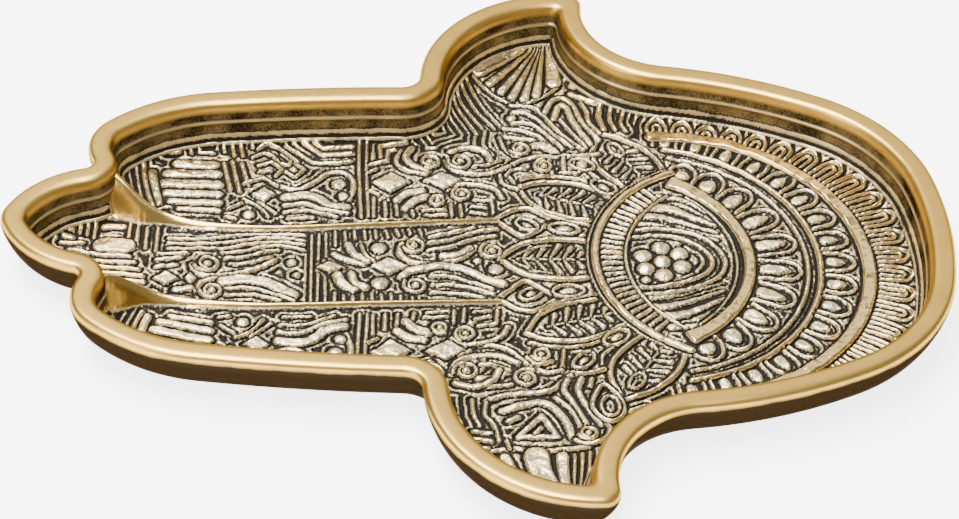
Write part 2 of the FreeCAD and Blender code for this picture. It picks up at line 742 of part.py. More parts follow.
def make_lash_ribs():
    """Short bars across the band between the eye's left edge and the lash line."""
    body = new_body("lash_ribs")
    left_x, left_radius, right_x, right_radius = eye_arcs()
    place_body(body, left_x, floor_level)
    clearance = cell("relief_clearance")
    outer = left_radius - cell("line_width") - clearance
    half = cell("lash_rib_width") / 2
    sketch = new_sketch(body, "bar", no_inset)
    turn = cell("lash_turn")
    x, y = cosine(turn), sine(turn)
    # a bar on the first ray, whose inner end is trimmed by the pocket that follows
    inner = along("lash_radius_share") / 2
    add_loop(sketch, [
        (-(x * outer) - y * half, y * outer - x * half, None),
        (-(x * inner) - y * half, y * inner - x * half, None),
        (-(x * inner) + y * half, y * inner + x * half, None),
        (-(x * outer) + y * half, y * outer + x * half, None),
    ])
    pad = add_pad(body, "bar_pad", sketch, cell("rib_height"))
    doc.recompute()
    pattern = body.newObject("PartDesign::PolarPattern", "lash_ribs_pattern")
    pattern.Originals = [pad]
    pattern.Axis = (sketch, ["N_Axis"])
    pattern.setExpression("Angle", (turn * 2).text)
    pattern.setExpression("Occurrences", "Sizes.lash_count")
    body.Tip = pattern
    doc.recompute()
    trim = new_sketch(body, "trim", no_inset)
    trim_radius = along("lash_radius_share") + cell("line_width") + clearance
    add_circle(trim, along("lash_x_share") + along("lash_radius_share") - left_x, no_inset, trim_radius)
    pocket = body.newObject("PartDesign::Pocket", "lash_ribs_trim_pocket")
    pocket.Profile = trim
    pocket.Reversed = True
    pocket.setExpression("Length", (cell("rib_height") * 2).text)
    trim.Visibility = False
    doc.recompute()
    return body


def make_iris():
    radius, width, gap = along("iris_radius_share"), cell("line_width"), cell("iris_gap")
    body = new_body("iris_rings")
    place_body(body, along("iris_x_share"), floor_level)
    sketch = new_sketch(body, "rings", no_inset)
    for ring in (radius, radius + width + gap):
        add_circle(sketch, no_inset, no_inset, ring)
        add_circle(sketch, no_inset, no_inset, ring + width)
    add_pad(body, "rings_pad", sketch, cell("line_height"))
    doc.recompute()
    # the rings open towards the lashes
    trim = new_sketch(body, "opening", no_inset)
    lash_radius = along("lash_radius_share")
    lash_centre = along("lash_x_share") + lash_radius - along("iris_x_share")
    far = lash_centre + lash_radius * 2
    add_loop(trim, [(-far, -far, None), (far, -far, None), (far, far, None), (-far, far, None)])
    add_circle(trim, lash_centre, no_inset, lash_radius - cell("relief_clearance"))
    pocket = body.newObject("PartDesign::Pocket", "iris_rings_opening_pocket")
    pocket.Profile = trim
    pocket.Reversed = True
    pocket.setExpression("Length", (cell("line_height") * 2).text)
    trim.Visibility = False
    doc.recompute()
    return body


def make_beads():
    """Flower of domed beads in the pupil: one in the middle and a ring round it."""
    body = new_body("pupil_beads")
    place_body(body, along("flower_x_share"), floor_level)
    features = []
    for name, place in (("middle", no_inset), ("ring", along("flower_ring_share"))):
        sketch = new_sketch(body, name, no_inset, "XZ_Plane")
        sketch.AttachmentOffset = FreeCAD.Placement(FreeCAD.Vector(place.value, 0, 0), FreeCAD.Rotation())
        sketch.setExpression("AttachmentOffset.Base.x", place.text)
        radius, height = cell("bead_radius"), cell("bead_height")
        dome = (radius * radius + height * height) / (height * 2)
        add_loop(sketch, [(no_inset, no_inset, None), (radius, no_inset, dome), (no_inset, height, None)])
        turned = body.newObject("PartDesign::Revolution", f"pupil_beads_{name}_dome")
        turned.Profile = sketch
        turned.ReferenceAxis = (sketch, ["V_Axis"])
        turned.Angle = 360
        sketch.Visibility = False
        features.append(turned)
    doc.recompute()
    pattern = body.newObject("PartDesign::PolarPattern", "pupil_beads_pattern")
    pattern.Originals = [features[1]]
    pattern.Axis = (origin_plane(body, "Z_Axis"), [""])
    pattern.Angle = 360
    pattern.setExpression("Occurrences", "Sizes.bead_count")
    body.Tip = pattern
    doc.recompute()
    return body


# Rows whose pieces change in size along the row, which a pattern can't do, are computed shapes

def computed(label, solids):
    """A sub-part whose shape is worked out from the sheet's sizes."""
    feature = doc.addObject("Part::Feature", label)
    feature.Label = label
    feature.Shape = Part.makeCompound(solids)
    feature.Placement = FreeCAD.Placement(FreeCAD.Vector(0, 0, floor_level.value), FreeCAD.Rotation())
    return feature


def mm(alias):
    return cell(alias).value


def shared(share):
    return share * length.value


def flat_solid(edges, height):
    return Part.Face(Part.Wire(edges)).extrude(FreeCAD.Vector(0, 0, height))


def polygon(points, height):
    closed = [vector(point) for point in points]
    return Part.Face(Part.makePolygon(closed + closed[:1])).extrude(FreeCAD.Vector(0, 0, height))


def bar(start, end, width, height):
    """A straight bar with square ends between two points."""
    run = math.dist(start, end)
    nx, ny = -(end[1] - start[1]) / run * width / 2, (end[0] - start[0]) / run * width / 2
    corners = [(start[0] + nx, start[1] + ny), (end[0] + nx, end[1] + ny),
               (end[0] - nx, end[1] - ny), (start[0] - nx, start[1] - ny)]
    return polygon(corners, height)


def arch(centre, angle, low, high, half, width, height):
    """A horseshoe that stands on a circle about centre, from radius low to radius high."""
    ux, uy = math.cos(angle), math.sin(angle)

    def point(out, across):
        return FreeCAD.Vector(centre[0] + ux * out - uy * across, centre[1] + uy * out + ux * across, 0)

    shoulder = high - half
    inner = half - width
    edges = [
        Part.LineSegment(point(low, half), point(shoulder, half)).toShape(),
        Part.Arc(point(shoulder, half), point(high, 0), point(shoulder, -half)).toShape(),
        Part.LineSegment(point(shoulder, -half), point(low, -half)).toShape(),
        Part.LineSegment(point(low, -half), point(low, -inner)).toShape(),
        Part.LineSegment(point(low, -inner), point(shoulder, -inner)).toShape(),
        Part.Arc(point(shoulder, -inner), point(shoulder + inner, 0), point(shoulder, inner)).toShape(),
        Part.LineSegment(point(shoulder, inner), point(low, inner)).toShape(),
        Part.LineSegment(point(low, inner), point(low, half)).toShape(),
    ]
    return flat_solid(edges, height)


def ray_reach(start, angle, centre, radius):
    """How far a ray runs from start until it leaves a circle."""
    dx, dy = start[0] - centre[0], start[1] - centre[1]
    along_ray = dx * math.cos(angle) + dy * math.sin(angle)
    return -along_ray + math.sqrt(along_ray ** 2 + radius ** 2 - dx * dx - dy * dy)


def row_angles(count, turn):
    return [math.radians(turn * (2 * index / (count - 1) - 1)) for index in range(int(count))]


def arch_row(label, centre_x, count, turn, low_at, high_at):
    """A fan of horseshoes whose feet and tops follow two given curves."""
    centre = (centre_x, 0)
    clearance = mm("relief_clearance")
    solids = []
    step = math.radians(2 * turn / (count - 1))
    for angle in row_angles(count, turn):
        low, high = low_at(angle) + clearance, high_at(angle) - clearance
        half = min(low * math.sin(step / 2) - clearance / 2, (high - low) * ARCH_WIDTH_SHARE)
        width = min(mm("petal_line_width"), half * ARCH_LINE_SHARE)
        solids.append(arch(centre, angle, low, high, half, width, mm("petal_height")))
    return computed(label, solids)


def make_petals():
    mandala = (along("mandala_x_share").value, 0)
    left_x, left_radius, right_x, right_radius = (size.value for size in eye_arcs())
    rings = along("double_ring_radius_share").value
    rings_outside = rings + 2 * mm("line_width") + mm("double_ring_gap")
    thick = along("thick_ring_radius_share").value
    thick_centre = (along("thick_ring_x_share").value, 0)
    arch_row("inner_petals", mandala[0], mm("inner_petal_count"), mm("inner_petal_turn"),
             lambda angle: ray_reach(mandala, angle, (right_x, 0), right_radius) + mm("relief_clearance"),
             lambda angle: rings)
    arch_row("middle_petals", mandala[0], mm("middle_petal_count"), mm("middle_petal_turn"),
             lambda angle: rings_outside, lambda angle: ray_reach(mandala, angle, thick_centre, thick))
    return arch_row("outer_arches", thick_centre[0], mm("arch_count"), mm("arch_turn"),
                    lambda angle: thick + mm("thick_ring_width"), wall_reach(thick_centre))


def wall_reach(start):
    """How far a ray from start runs over the palm's floor before it meets the wall."""
    shoulder, heel, wrist = solved_circles(hand_circles(floor_inset, cavity_nose, cavity_tip))[-3:]
    heel_starts, heel_ends = touch_point(shoulder, heel), touch_point(heel, wrist)

    def reach(angle):
        turn = abs(angle)
        for circle in (wrist, heel, shoulder):
            run = ray_reach(start, turn, circle[:2], circle[2])
            x, y = start[0] + run * math.cos(turn), start[1] + run * math.sin(turn)
            if (circle is wrist and y <= heel_ends[1]) or (circle is heel and x >= heel_starts[0]):
                break
        return run

    return reach


def lens_between(tip, foot, half, inset):
    """A pointed oval from tip to foot, drawn in by inset on both sides."""
    run = math.dist(tip, foot)
    radius = ((run / 2) ** 2 + half ** 2) / (2 * half)
    ux, uy = (foot[0] - tip[0]) / run, (foot[1] - tip[1]) / run
    middle = ((tip[0] + foot[0]) / 2, (tip[1] + foot[1]) / 2)
    reach = math.sqrt((radius - inset) ** 2 - (radius - half) ** 2)
    wide = half - inset

    def point(out, across):
        return FreeCAD.Vector(middle[0] + ux * out - uy * across, middle[1] + uy * out + ux * across, 0)

    edges = [
        Part.Arc(point(-reach, 0), point(0, wide), point(reach, 0)).toShape(),
        Part.Arc(point(reach, 0), point(0, -wide), point(-reach, 0)).toShape(),
    ]
    return Part.Face(Part.Wire(edges))


def leaves():
    """Every leaf as (tip, foot, half width)."""
    placed = []
    for tip_x, tip_y, foot_x, foot_y, half in LEAF_SHARES:
        for side in ((1,) if tip_y == 0 else (1, -1)):
            tip = (shared(tip_x), side * shared(tip_y))
            foot = (shared(foot_x), side * shared(foot_y))
            placed.append((tip, foot, shared(half)))
    return placed


def make_leaves():
    up = FreeCAD.Vector(0, 0, mm("line_height"))
    frames, veins = [], []
    for tip, foot, half in leaves():
        band = mm("leaf_line_width")
        frames.append(lens_between(tip, foot, half, 0).cut(lens_between(tip, foot, half, band)).extrude(up))
        run = math.dist(tip, foot)
        ux, uy = (foot[0] - tip[0]) / run, (foot[1] - tip[1]) / run
        ends = [(tip[0] + ux * run * share, tip[1] + uy * run * share) for share in STEM_SHARES]
        twigs = [bar(ends[0], ends[1], band, mm("rib_height"))]
        out = (half - 2 * band) * TWIG_REACH_SHARE
        for share in TWIG_SHARES:
            start = (tip[0] + ux * run * share, tip[1] + uy * run * share)
            for side in (1, -1):
                end = (start[0] + ux * out * TWIG_LEAN_SHARE - side * uy * out,
                       start[1] + uy * out * TWIG_LEAN_SHARE + side * ux * out)
                twigs.append(bar(start, end, band, mm("rib_height")))
        veins.append(twigs[0].multiFuse(twigs[1:]).removeSplitter())
    computed("leaf_frames", [solid for frame in frames for solid in frame.Solids])
    computed("leaf_veins", [solid for vein in veins for solid in vein.Solids])


# Relief of the fingers and thumbs

def drift_at(x):
    """Sideways drift of the finger pattern at a place along the hand."""
    rows = RIDGE_SHARES
    share = x / length.value
    if share <= rows[0][0]:
        return shared(rows[0][2])
    for one, two in zip(rows, rows[1:]):
        if share <= two[0]:
            part = (share - one[0]) / (two[0] - one[0])
            return shared(one[2] + part * (two[2] - one[2]))
    return 0.0


def ridge_spacing(x):
    rows = RIDGE_SHARES
    share = x / length.value
    for one, two in zip(rows, rows[1:]):
        if share <= two[0]:
            part = max((share - one[0]) / (two[0] - one[0]), 0)
            return shared(one[1] + part * (two[1] - one[1]))
    return shared(rows[-1][1])


def make_crossbars():
    """Pairs of bars across each finger."""
    width, height = mm("bar_width"), mm("rib_height")
    clearance = mm("relief_clearance") + mm("ridge_top_width") + width
    wall = shared(SIZES["finger_side_y_share"]) - floor_inset.value - mm("relief_clearance") * 2
    solids = []
    for x, fingers in ((along("middle_bar_x_share").value, ("middle",)),
                       (along("side_bar_x_share").value, ("left", "right"))):
        for step in (-1, 1):
            place = x + step * width
            inner = ridge_spacing(place) - clearance
            outer = ridge_spacing(place) + clearance
            drift = drift_at(place)
            for finger in fingers:
                low, high = {
                    "middle": (drift - inner, drift + inner),
                    "left": (drift + outer, wall),
                    "right": (-wall, drift - outer),
                }[finger]
                solids.append(bar((place, low), (place, high), width, height))
    return computed("finger_crossbars", solids)


def make_nail_ribs():
    """Lengthwise ribs on each fingertip."""
    width, pitch = mm("nail_rib_width"), mm("nail_rib_width") + mm("nail_rib_gap")
    run = along("nail_rib_length_share").value
    count = int(mm("nail_rib_count"))
    solids = []
    middles = [(along("middle_nail_x_share").value, 0.0)]
    side_x, side_y = along("side_nail_x_share").value, along("side_nail_y_share").value
    middles += [(side_x, side * side_y) for side in (1, -1)]
    for x, y in middles:
        for index in range(count):
            across = y + (index - (count - 1) / 2) * pitch
            solids.append(bar((x, across), (x + run, across), width, mm("rib_height")))
    return computed("nail_ribs", solids)


def make_diamonds():
    placed = [(x, drift_at(shared(x)), wide, deep) for x, _, wide, deep in MIDDLE_DIAMOND_SHARES]
    for side in (1, -1):
        placed += [(x, side * shared(y), wide, deep) for x, y, wide, deep in SIDE_DIAMOND_SHARES]
    solids = []
    for x_share, y, half_x, half_y in placed:
        x, wide, deep = shared(x_share), shared(half_x), shared(half_y)
        corners = [(x - wide, y), (x, y - deep), (x + wide, y), (x, y + deep)]
        solids.append(polygon(corners, mm("rib_height")))
    return computed("finger_diamonds", solids)


def ribbon(points, width, height):
    """A line of even width with square corners through the points."""
    solid = None
    for start, end in zip(points, points[1:]):
        run = math.dist(start, end)
        ux, uy = (end[0] - start[0]) / run * width / 2, (end[1] - start[1]) / run * width / 2
        piece = bar((start[0] - ux, start[1] - uy), (end[0] + ux, end[1] + uy), width, height)
        solid = piece if solid is None else solid.fuse(piece)
    return solid.removeSplitter()


def make_meanders():
    solids = []
    for corners in MEANDER_SHARES:
        for side in (1, -1):
            points = [(shared(x), side * shared(y)) for x, y in corners]
            solids.append(ribbon(points, mm("leaf_line_width"), mm("rib_height")))
    return computed("finger_meanders", [solid for shape in solids for solid in shape.Solids])


def strip(points, start_width, end_width, height):
    """A flat band through the points, as one outline with mitred bends."""
    steps = len(points) - 1
    left, right = [], []
    for index, (x, y) in enumerate(points):
        before, after = points[max(index - 1, 0)], points[min(index + 1, steps)]
        turns = []
        for one, two in ((before, (x, y)), ((x, y), after)):
            run = math.dist(one, two)
            if run:
                turns.append((-(two[1] - one[1]) / run, (two[0] - one[0]) / run))
        nx, ny = sum(turn[0] for turn in turns) / len(turns), sum(turn[1] for turn in turns) / len(turns)
        half = (start_width + (end_width - start_width) * index / steps) / 2 / (nx * nx + ny * ny)
        left.append((x + nx * half, y + ny * half))
        right.append((x - nx * half, y - ny * half))
    return polygon(left + right[::-1], height)


def side_place(x_share, y_share, side):
    """A place on the hand, mirrored to the -Y side where side is -1."""
    return shared(x_share), side * shared(y_share)


def make_bands(rows, sides):
    solids = []
    for width, corners in rows:
        for side in sides:
            points = [side_place(x, y, side) for x, y in corners]
            solids.append(strip(points, mm(width), mm(width), mm("rib_height")))
    return solids


def make_scrolls():
    """Open curls, three quarters of a ring round a bead, and the flowing bands between them."""
    solids = make_bands(MIDDLE_BAND_SHARES + RIDGE_SIDE_BAND_SHARES, (1,))
    solids += make_bands(SIDE_BAND_SHARES, (1, -1))
    curls = [(row, side) for row in SCROLL_SHARES for side in (1, -1)]
    curls += [(row, 1) for row in MIDDLE_SCROLL_SHARES]
    for (x, y, radius), side in curls:
        centre = side_place(x, y, side)
        outer, width = shared(radius), mm("leaf_line_width")
        up = FreeCAD.Vector(0, 0, 1)
        ring = Part.makeCylinder(outer, mm("rib_height"), vector(centre), up, CURL_TURN)
        core = Part.makeCylinder(outer - width, mm("rib_height"), vector(centre))
        bead = Part.makeCylinder(outer * CURL_BEAD_SHARE, mm("rib_height"), vector(centre))
        solids += ring.cut(core).Solids + [bead]
    return computed("finger_scrolls", solids)


def make_thumbs():
    """A fan of widening ribs in the tip of each thumb, and the bands below it."""
    ribs = []
    for inner_x, inner_y, outer_x, outer_y in FAN_RIB_SHARES:
        for side in (1, -1):
            ends = [side_place(inner_x, inner_y, side), side_place(outer_x, outer_y, side)]
            ribs.append(strip(ends, mm("fan_rib_tip_width"), mm("fan_rib_foot_width"), mm("rib_height")))
    computed("thumb_fans", ribs)
    computed("thumb_arcs", make_bands(THUMB_BAND_SHARES, (1, -1)))


make_casting()
make_pads()
make_eye_outline()
make_lash_line()
make_lash_ribs()
make_iris()
make_beads()
make_double_ring()
make_thick_ring()
make_petals()
make_leaves()
make_crossbars()
make_nail_ribs()
make_diamonds()
make_meanders()
make_scrolls()
make_thumbs()
doc.recompute()

sub_parts = [item for item in doc.Objects if item.TypeId in ("PartDesign::Body", "Part::Feature")]
broken = [item.Name for item in doc.Objects if "Invalid" in item.State or "Error" in item.State]
if broken:
    raise RuntimeError(f"these objects failed: {broken}")
for item in sub_parts:
    if item.Shape.isNull() or not item.Shape.isValid():
        raise RuntimeError(f"{item.Label} has no valid shape")
os.makedirs("parts", exist_ok=True)
for item in sub_parts:
    item.Shape.exportStep(f"parts/{item.Label}.step")
    print(item.Label, len(item.Shape.Solids), "solids", round(item.Shape.Volume), "mm3")
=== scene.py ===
import math

import bpy
import numpy as np
from mathutils import Matrix, Vector


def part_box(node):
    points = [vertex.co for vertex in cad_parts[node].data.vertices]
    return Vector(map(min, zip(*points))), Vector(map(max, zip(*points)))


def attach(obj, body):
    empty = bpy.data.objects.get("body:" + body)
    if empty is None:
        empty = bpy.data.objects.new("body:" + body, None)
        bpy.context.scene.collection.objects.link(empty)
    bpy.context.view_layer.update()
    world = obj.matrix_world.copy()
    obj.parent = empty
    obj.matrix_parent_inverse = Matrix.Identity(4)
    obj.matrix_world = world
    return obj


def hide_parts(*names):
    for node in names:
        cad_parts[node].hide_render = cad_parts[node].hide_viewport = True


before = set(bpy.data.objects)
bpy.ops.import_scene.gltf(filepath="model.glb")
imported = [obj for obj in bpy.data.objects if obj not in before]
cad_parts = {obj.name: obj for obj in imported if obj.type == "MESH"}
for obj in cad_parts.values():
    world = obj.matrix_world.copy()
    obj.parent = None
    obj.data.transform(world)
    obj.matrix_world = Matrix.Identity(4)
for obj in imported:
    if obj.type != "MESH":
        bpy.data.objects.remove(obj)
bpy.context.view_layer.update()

# The dish is drawn in millimetres, with the middle finger towards -X, and becomes metres in make_piece.
# An inset is a distance in from the outline.

FOOT = round(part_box("tray_casting")[0][2] * 1000, 2)
TOP = round(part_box("tray_casting")[1][2] * 1000, 2)
FLOOR = round(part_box("thick_ring")[0][2] * 1000, 2)
NOSE_RADIUS = 9.5
TIP_RADIUS = 5.0
WALL_INSET = 7.4
FLOOR_INSET = 7.3
CELL = 0.34

# outline


def fillet(one, two, radius, sense, left):
    """A circle (x, y, radius, sense) that touches two others. Sense is -1 where the outline is hollow."""
    reach_one = abs(one[2] - radius) if one[3] == sense else one[2] + radius
    reach_two = abs(two[2] - radius) if two[3] == sense else two[2] + radius
    dx, dy = two[0] - one[0], two[1] - one[1]
    gap = math.hypot(dx, dy)
    out = (reach_one**2 - reach_two**2 + gap**2) / (2 * gap)
    side = left * math.sqrt(max(reach_one**2 - out**2, 0))
    return (one[0] + (dx * out - dy * side) / gap, one[1] + (dy * out + dx * side) / gap, radius, sense)


def touch(one, two):
    """The point where two circles of the outline meet."""
    dx, dy = two[0] - one[0], two[1] - one[1]
    gap = math.hypot(dx, dy)
    way = one[2] / gap if one[3] != two[3] or one[2] > two[2] else -one[2] / gap
    return one[0] + dx * way, one[1] + dy * way


def hand_circles(inset, nose_radius, tip_radius):
    """Circles of the outline's +Y half, from the middle finger's nose to the wrist, moved in."""
    flank_turn = math.radians(22.7)
    flank = (-130.5 + 22.5 * math.cos(flank_turn), -22.5 * math.sin(flank_turn), 32 - inset, 1)
    run = flank[2] - nose_radius
    nose = (flank[0] - math.sqrt(run**2 - flank[1] ** 2), 0.0, nose_radius, 1)
    fingertip = (-101.3, 33.4, 15.8 - inset, 1)
    finger_side = (-13.0, 63.8 - 555, 555 - inset, 1)
    thumb = (29.0, 66.9, 46.2 - inset, 1)
    hollow = (63.1, 104.3, 28 + inset, -1)
    turn = math.radians(97.1)
    shoulder_place = (hollow[0] + 178 * math.cos(turn), hollow[1] - 178 * math.sin(turn))
    shoulder = (*shoulder_place, 150 - inset, 1)
    wrist = (16.7, 0.0, 123.3 - inset, 1)
    return [
        nose,
        flank,
        fillet(flank, fingertip, 3 + inset, -1, 1),
        fingertip,
        fillet(fingertip, finger_side, 54.5 - inset, 1, 1),
        finger_side,
        fillet(finger_side, thumb, 6 + inset, -1, 1),
        thumb,
        fillet(thumb, hollow, tip_radius, 1, 1),
        hollow,
        shoulder,
        fillet(shoulder, wrist, 55 - inset, 1, -1),
        wrist,
    ]


def arc_ends(circles):
    nose, wrist = circles[0], circles[-1]
    inner = [touch(a, b) for a, b in zip(circles, circles[1:])]
    return [(nose[0] - nose[2], 0.0)] + inner + [(wrist[0] + wrist[2], 0.0)]


def arc_angles(circle, start, end):
    """The first angle of an arc and the turn to its last one."""
    first = math.atan2(start[1] - circle[1], start[0] - circle[0])
    last = math.atan2(end[1] - circle[1], end[0] - circle[0])
    turn = (last - first + math.pi) % (2 * math.pi) - math.pi
    if circle[3] * turn > 0:
        turn -= circle[3] * 2 * math.pi
    return first, turn


outer_circles = hand_circles(0, NOSE_RADIUS, TIP_RADIUS)
outer_ends = arc_ends(outer_circles)
ARC_STEPS = [
    max(4, round(abs(arc_angles(c, a, b)[1]) * c[2] / 0.9))
    for c, a, b in zip(outer_circles, outer_ends, outer_ends[1:])
]


def hand_loop(inset):
    """The whole outline at an inset, with the same number of points at every inset."""
    ease = min(inset / WALL_INSET, 1)
    nose_radius = NOSE_RADIUS - 4.5 * ease - max(inset - WALL_INSET, 0) * 0.8
    circles = hand_circles(inset, nose_radius, TIP_RADIUS - 2.5 * ease)
    ends = arc_ends(circles)
    points = []
    for circle, start, end, steps in zip(circles, ends, ends[1:], ARC_STEPS):
        first, turn = arc_angles(circle, start, end)
        angles = first + turn * np.arange(steps) / steps
        points.append(np.c_[circle[0] + circle[2] * np.cos(angles), circle[1] + circle[2] * np.sin(angles)])
    half = np.vstack(points + [[ends[-1]]])
    return np.vstack([half, half[-2:0:-1] * [1, -1]])


def inset_field(x, y):
    """Distance from the outline, positive inside."""
    y = np.abs(y)
    nearest = np.full(x.shape, 1e3)
    inside = np.zeros(x.shape, bool)
    for circle, start, end in zip(outer_circles, outer_ends, outer_ends[1:]):
        first, turn = arc_angles(circle, start, end)
        dx, dy = x - circle[0], y - circle[1]
        away = np.hypot(dx, dy)
        swept = ((np.arctan2(dy, dx) - first) * np.sign(turn)) % (2 * math.pi)
        here = swept <= abs(turn) + 1e-6
        gap = (circle[2] - away) * circle[3]
        closer = here & (np.abs(gap) < nearest)
        nearest = np.where(closer, np.abs(gap), nearest)
        inside = np.where(closer, gap > 0, inside)
    return np.where(inside, nearest, -nearest)


# relief: fields over a grid of cells on the dish's floor

GRID_LENGTH = 272
GRID_WIDTH = 220
DITCH_SLOPE = 0.5
DITCH_LIMIT = 3
xs = np.arange(-GRID_LENGTH // 2, GRID_LENGTH // 2, CELL)
ys = np.arange(-GRID_WIDTH // 2, GRID_WIDTH // 2, CELL)
grid_x, grid_y = np.meshgrid(xs, ys, indexing="ij")
inset = inset_field(grid_x, grid_y)
relief = np.zeros(grid_x.shape)
rubbed = np.zeros(grid_x.shape)


def window(points, margin):
    """The cells round some points."""
    low, high = points.min(0) - margin, points.max(0) + margin
    i0, i1 = np.searchsorted(xs, [low[0], high[0]])
    j0, j1 = np.searchsorted(ys, [low[1], high[1]])
    return slice(i0, i1), slice(j0, j1)


def smooth_line(points, closed=False, step=0.9):
    """A Catmull-Rom curve through the points."""
    p = np.array(points, float)
    if len(p) < 3:
        return p
    before, after = (p[-1], p[0]) if closed else (2 * p[0] - p[1], 2 * p[-1] - p[-2])
    p = np.vstack([before, p, after] + ([p[1]] if closed else []))
    line = []
    for a, b, c, d in zip(p, p[1:], p[2:], p[3:]):
        t = np.linspace(0, 1, max(2, int(math.dist(b, c) / step)), endpoint=False)[:, None]
        square = 2 * a - 5 * b + 4 * c - d
        cube = 3 * b - a - 3 * c + d
        line.append(0.5 * (2 * b + (c - a) * t + square * t**2 + cube * t**3))
    return np.vstack(line + [p[-2:-1]])


def to_segment(x, y, a, b):
    """Share of the way along a segment, and distance from it, for every cell."""
    d = b - a
    share = np.clip(((x - a[0]) * d[0] + (y - a[1]) * d[1]) / max(d @ d, 1e-9), 0, 1)
    return share, np.hypot(x - a[0] - share * d[0], y - a[1] - share * d[1])


def shape_in(area, distance, half, height, moat, rub=0.0):
    """Raises a rounded shape where distance is below half, and clears a narrow ditch round it."""
    edge = np.clip((half - distance) / np.minimum(half, 0.95), 0, 1)
    raised = height * (1 - (1 - edge) ** 2)
    ditch = np.clip((distance - half - moat * 0.4) / DITCH_SLOPE, 0, 1) * DITCH_LIMIT
    relief[area] = np.maximum(np.minimum(relief[area], ditch), raised)
    rubbed[area] = np.where(distance < half + 0.2, rub, rubbed[area])


def stroke(points, width, height=1.3, smooth=True, closed=False, moat=0.5, swell=1.22, rub=0.0):
    """A rounded line. width may be (first, last) for a line that widens, and rub says how golden it is."""
    widths = width if isinstance(width, tuple) else (width, width)
    widths = tuple(wide * swell for wide in widths)
    line = smooth_line(points, closed) if smooth else np.array(points + points[:1] * closed, float)
    runs = np.r_[0, np.cumsum(np.hypot(*np.diff(line, axis=0).T))]
    area = window(line, max(widths) / 2 + moat + 0.6)
    x, y = grid_x[area], grid_y[area]
    best, half = np.full(x.shape, 1e3), np.full(x.shape, 0.5)
    for a, b, run_a, run_b in zip(line, line[1:], runs, runs[1:]):
        t, away = to_segment(x, y, a, b)
        share = (run_a + t * (run_b - run_a)) / runs[-1]
        wide = (widths[0] + share * (widths[1] - widths[0])) / 2
        closer = away - wide < best - half
        best, half = np.where(closer, away, best), np.where(closer, wide, half)
    shape_in(area, best, half, height, moat, rub)


def plateau(points, height=1.2, moat=0.55, smooth=True, rub=0.0):
    """A filled shape inside a closed line."""
    line = smooth_line(points, True) if smooth else np.array(points + points[:1], float)
    area = window(line, moat + 0.6)
    x, y = grid_x[area], grid_y[area]
    best, inside = np.full(x.shape, 1e3), np.zeros(x.shape, bool)
    for a, b in zip(line, line[1:]):
        best = np.minimum(best, to_segment(x, y, a, b)[1])
        crosses = (a[1] > y) != (b[1] > y)
        rise = b[1] - a[1] if b[1] - a[1] else 1e-9
        inside ^= crosses & (x < a[0] + (y - a[1]) * (b[0] - a[0]) / rise)
    shape_in(area, np.where(inside, -best, best) + 0.95, 0.95, height, moat, rub)


def placed(points, x, y, turn):
    """Points (along, across), turned by some degrees and moved to a place."""
    c, s = math.cos(math.radians(turn)), math.sin(math.radians(turn))
    return [(x + u * c - v * s, y + u * s + v * c) for u, v in points]


def ring(x, y, radius, width=1.2, squeeze=1.0, turn=0.0):
    """A closed oval line."""
    angles = np.radians(360 * np.arange(25) / 24)
    loop = zip(radius * np.cos(angles), radius * squeeze * np.sin(angles))
    stroke(placed(loop, x, y, turn), width, smooth=False)


def bead(x, y, radius, height=1.5, squeeze=1.0, turn=0.0):
    """A dome with a ditch round it."""
    c, s = math.cos(math.radians(turn)), math.sin(math.radians(turn))
    area = window(np.array([[x, y]]), radius + 1.2)
    dx, dy = grid_x[area] - x, grid_y[area] - y
    away = np.hypot(dx * c + dy * s, (dy * c - dx * s) / squeeze)
    dome = height * np.sqrt(np.clip(1 - (away / radius) ** 2, 0, 1))
    ditch = np.clip((away - radius - 0.3) / DITCH_SLOPE, 0, 1) * DITCH_LIMIT
    relief[area] = np.maximum(np.minimum(relief[area], ditch), dome)


def oval(x, y, turn, line, middle):
    """A ring (radius, width, squeeze) round a bead (radius, height, squeeze)."""
    ring(x, y, *line, turn)
    bead(x, y, *middle, turn)


def curl(x, y, radius, start, turns=1.3):
    """A spiral from its outer end at the angle start, in degrees, to a bead in its middle."""
    steps = np.linspace(0, 1, 26)
    angles = np.radians(start) + 2 * math.pi * turns * steps
    reach = radius * (1 - 0.62 * steps)
    spiral = [(x + r * math.cos(a), y + r * math.sin(a)) for r, a in zip(reach, angles)]
    stroke(spiral, 1.3, 1.35, smooth=False)
    bead(x, y, max(radius * 0.36, 0.8))


def arc_points(x, y, radius, first, last, count=24):
    angles = np.radians(np.linspace(first, last, count))
    return [(x + radius * math.cos(a), y + radius * math.sin(a)) for a in angles]


# palm: the eye and the rings round it

# Centres of the arcs and of the pupil.
LASH_TIPS = (78.4, 1.0)
LASH_FEET = (80.5, 0.5)
LID = (40.5, 1.0)
INNER_PETALS = (50.0, 0.5)
DOUBLE_RING = (50.0, 0.3)
THICK_RING = (58.7, 0.0)
PUPIL = (55.0, -0.4)
# Radii, and angles in degrees.
LID_RADIUS = 42.9
INNER_PETAL_TIP = 47.2
INNER_PETAL_ANGLES = (70.5, 57.8, 43.6, 27.4, 10.6, -6.0, -22.6, -39.0, -54.6, -68.0)
ARCH_COUNT = 23
ARCH_PITCH = 7.3


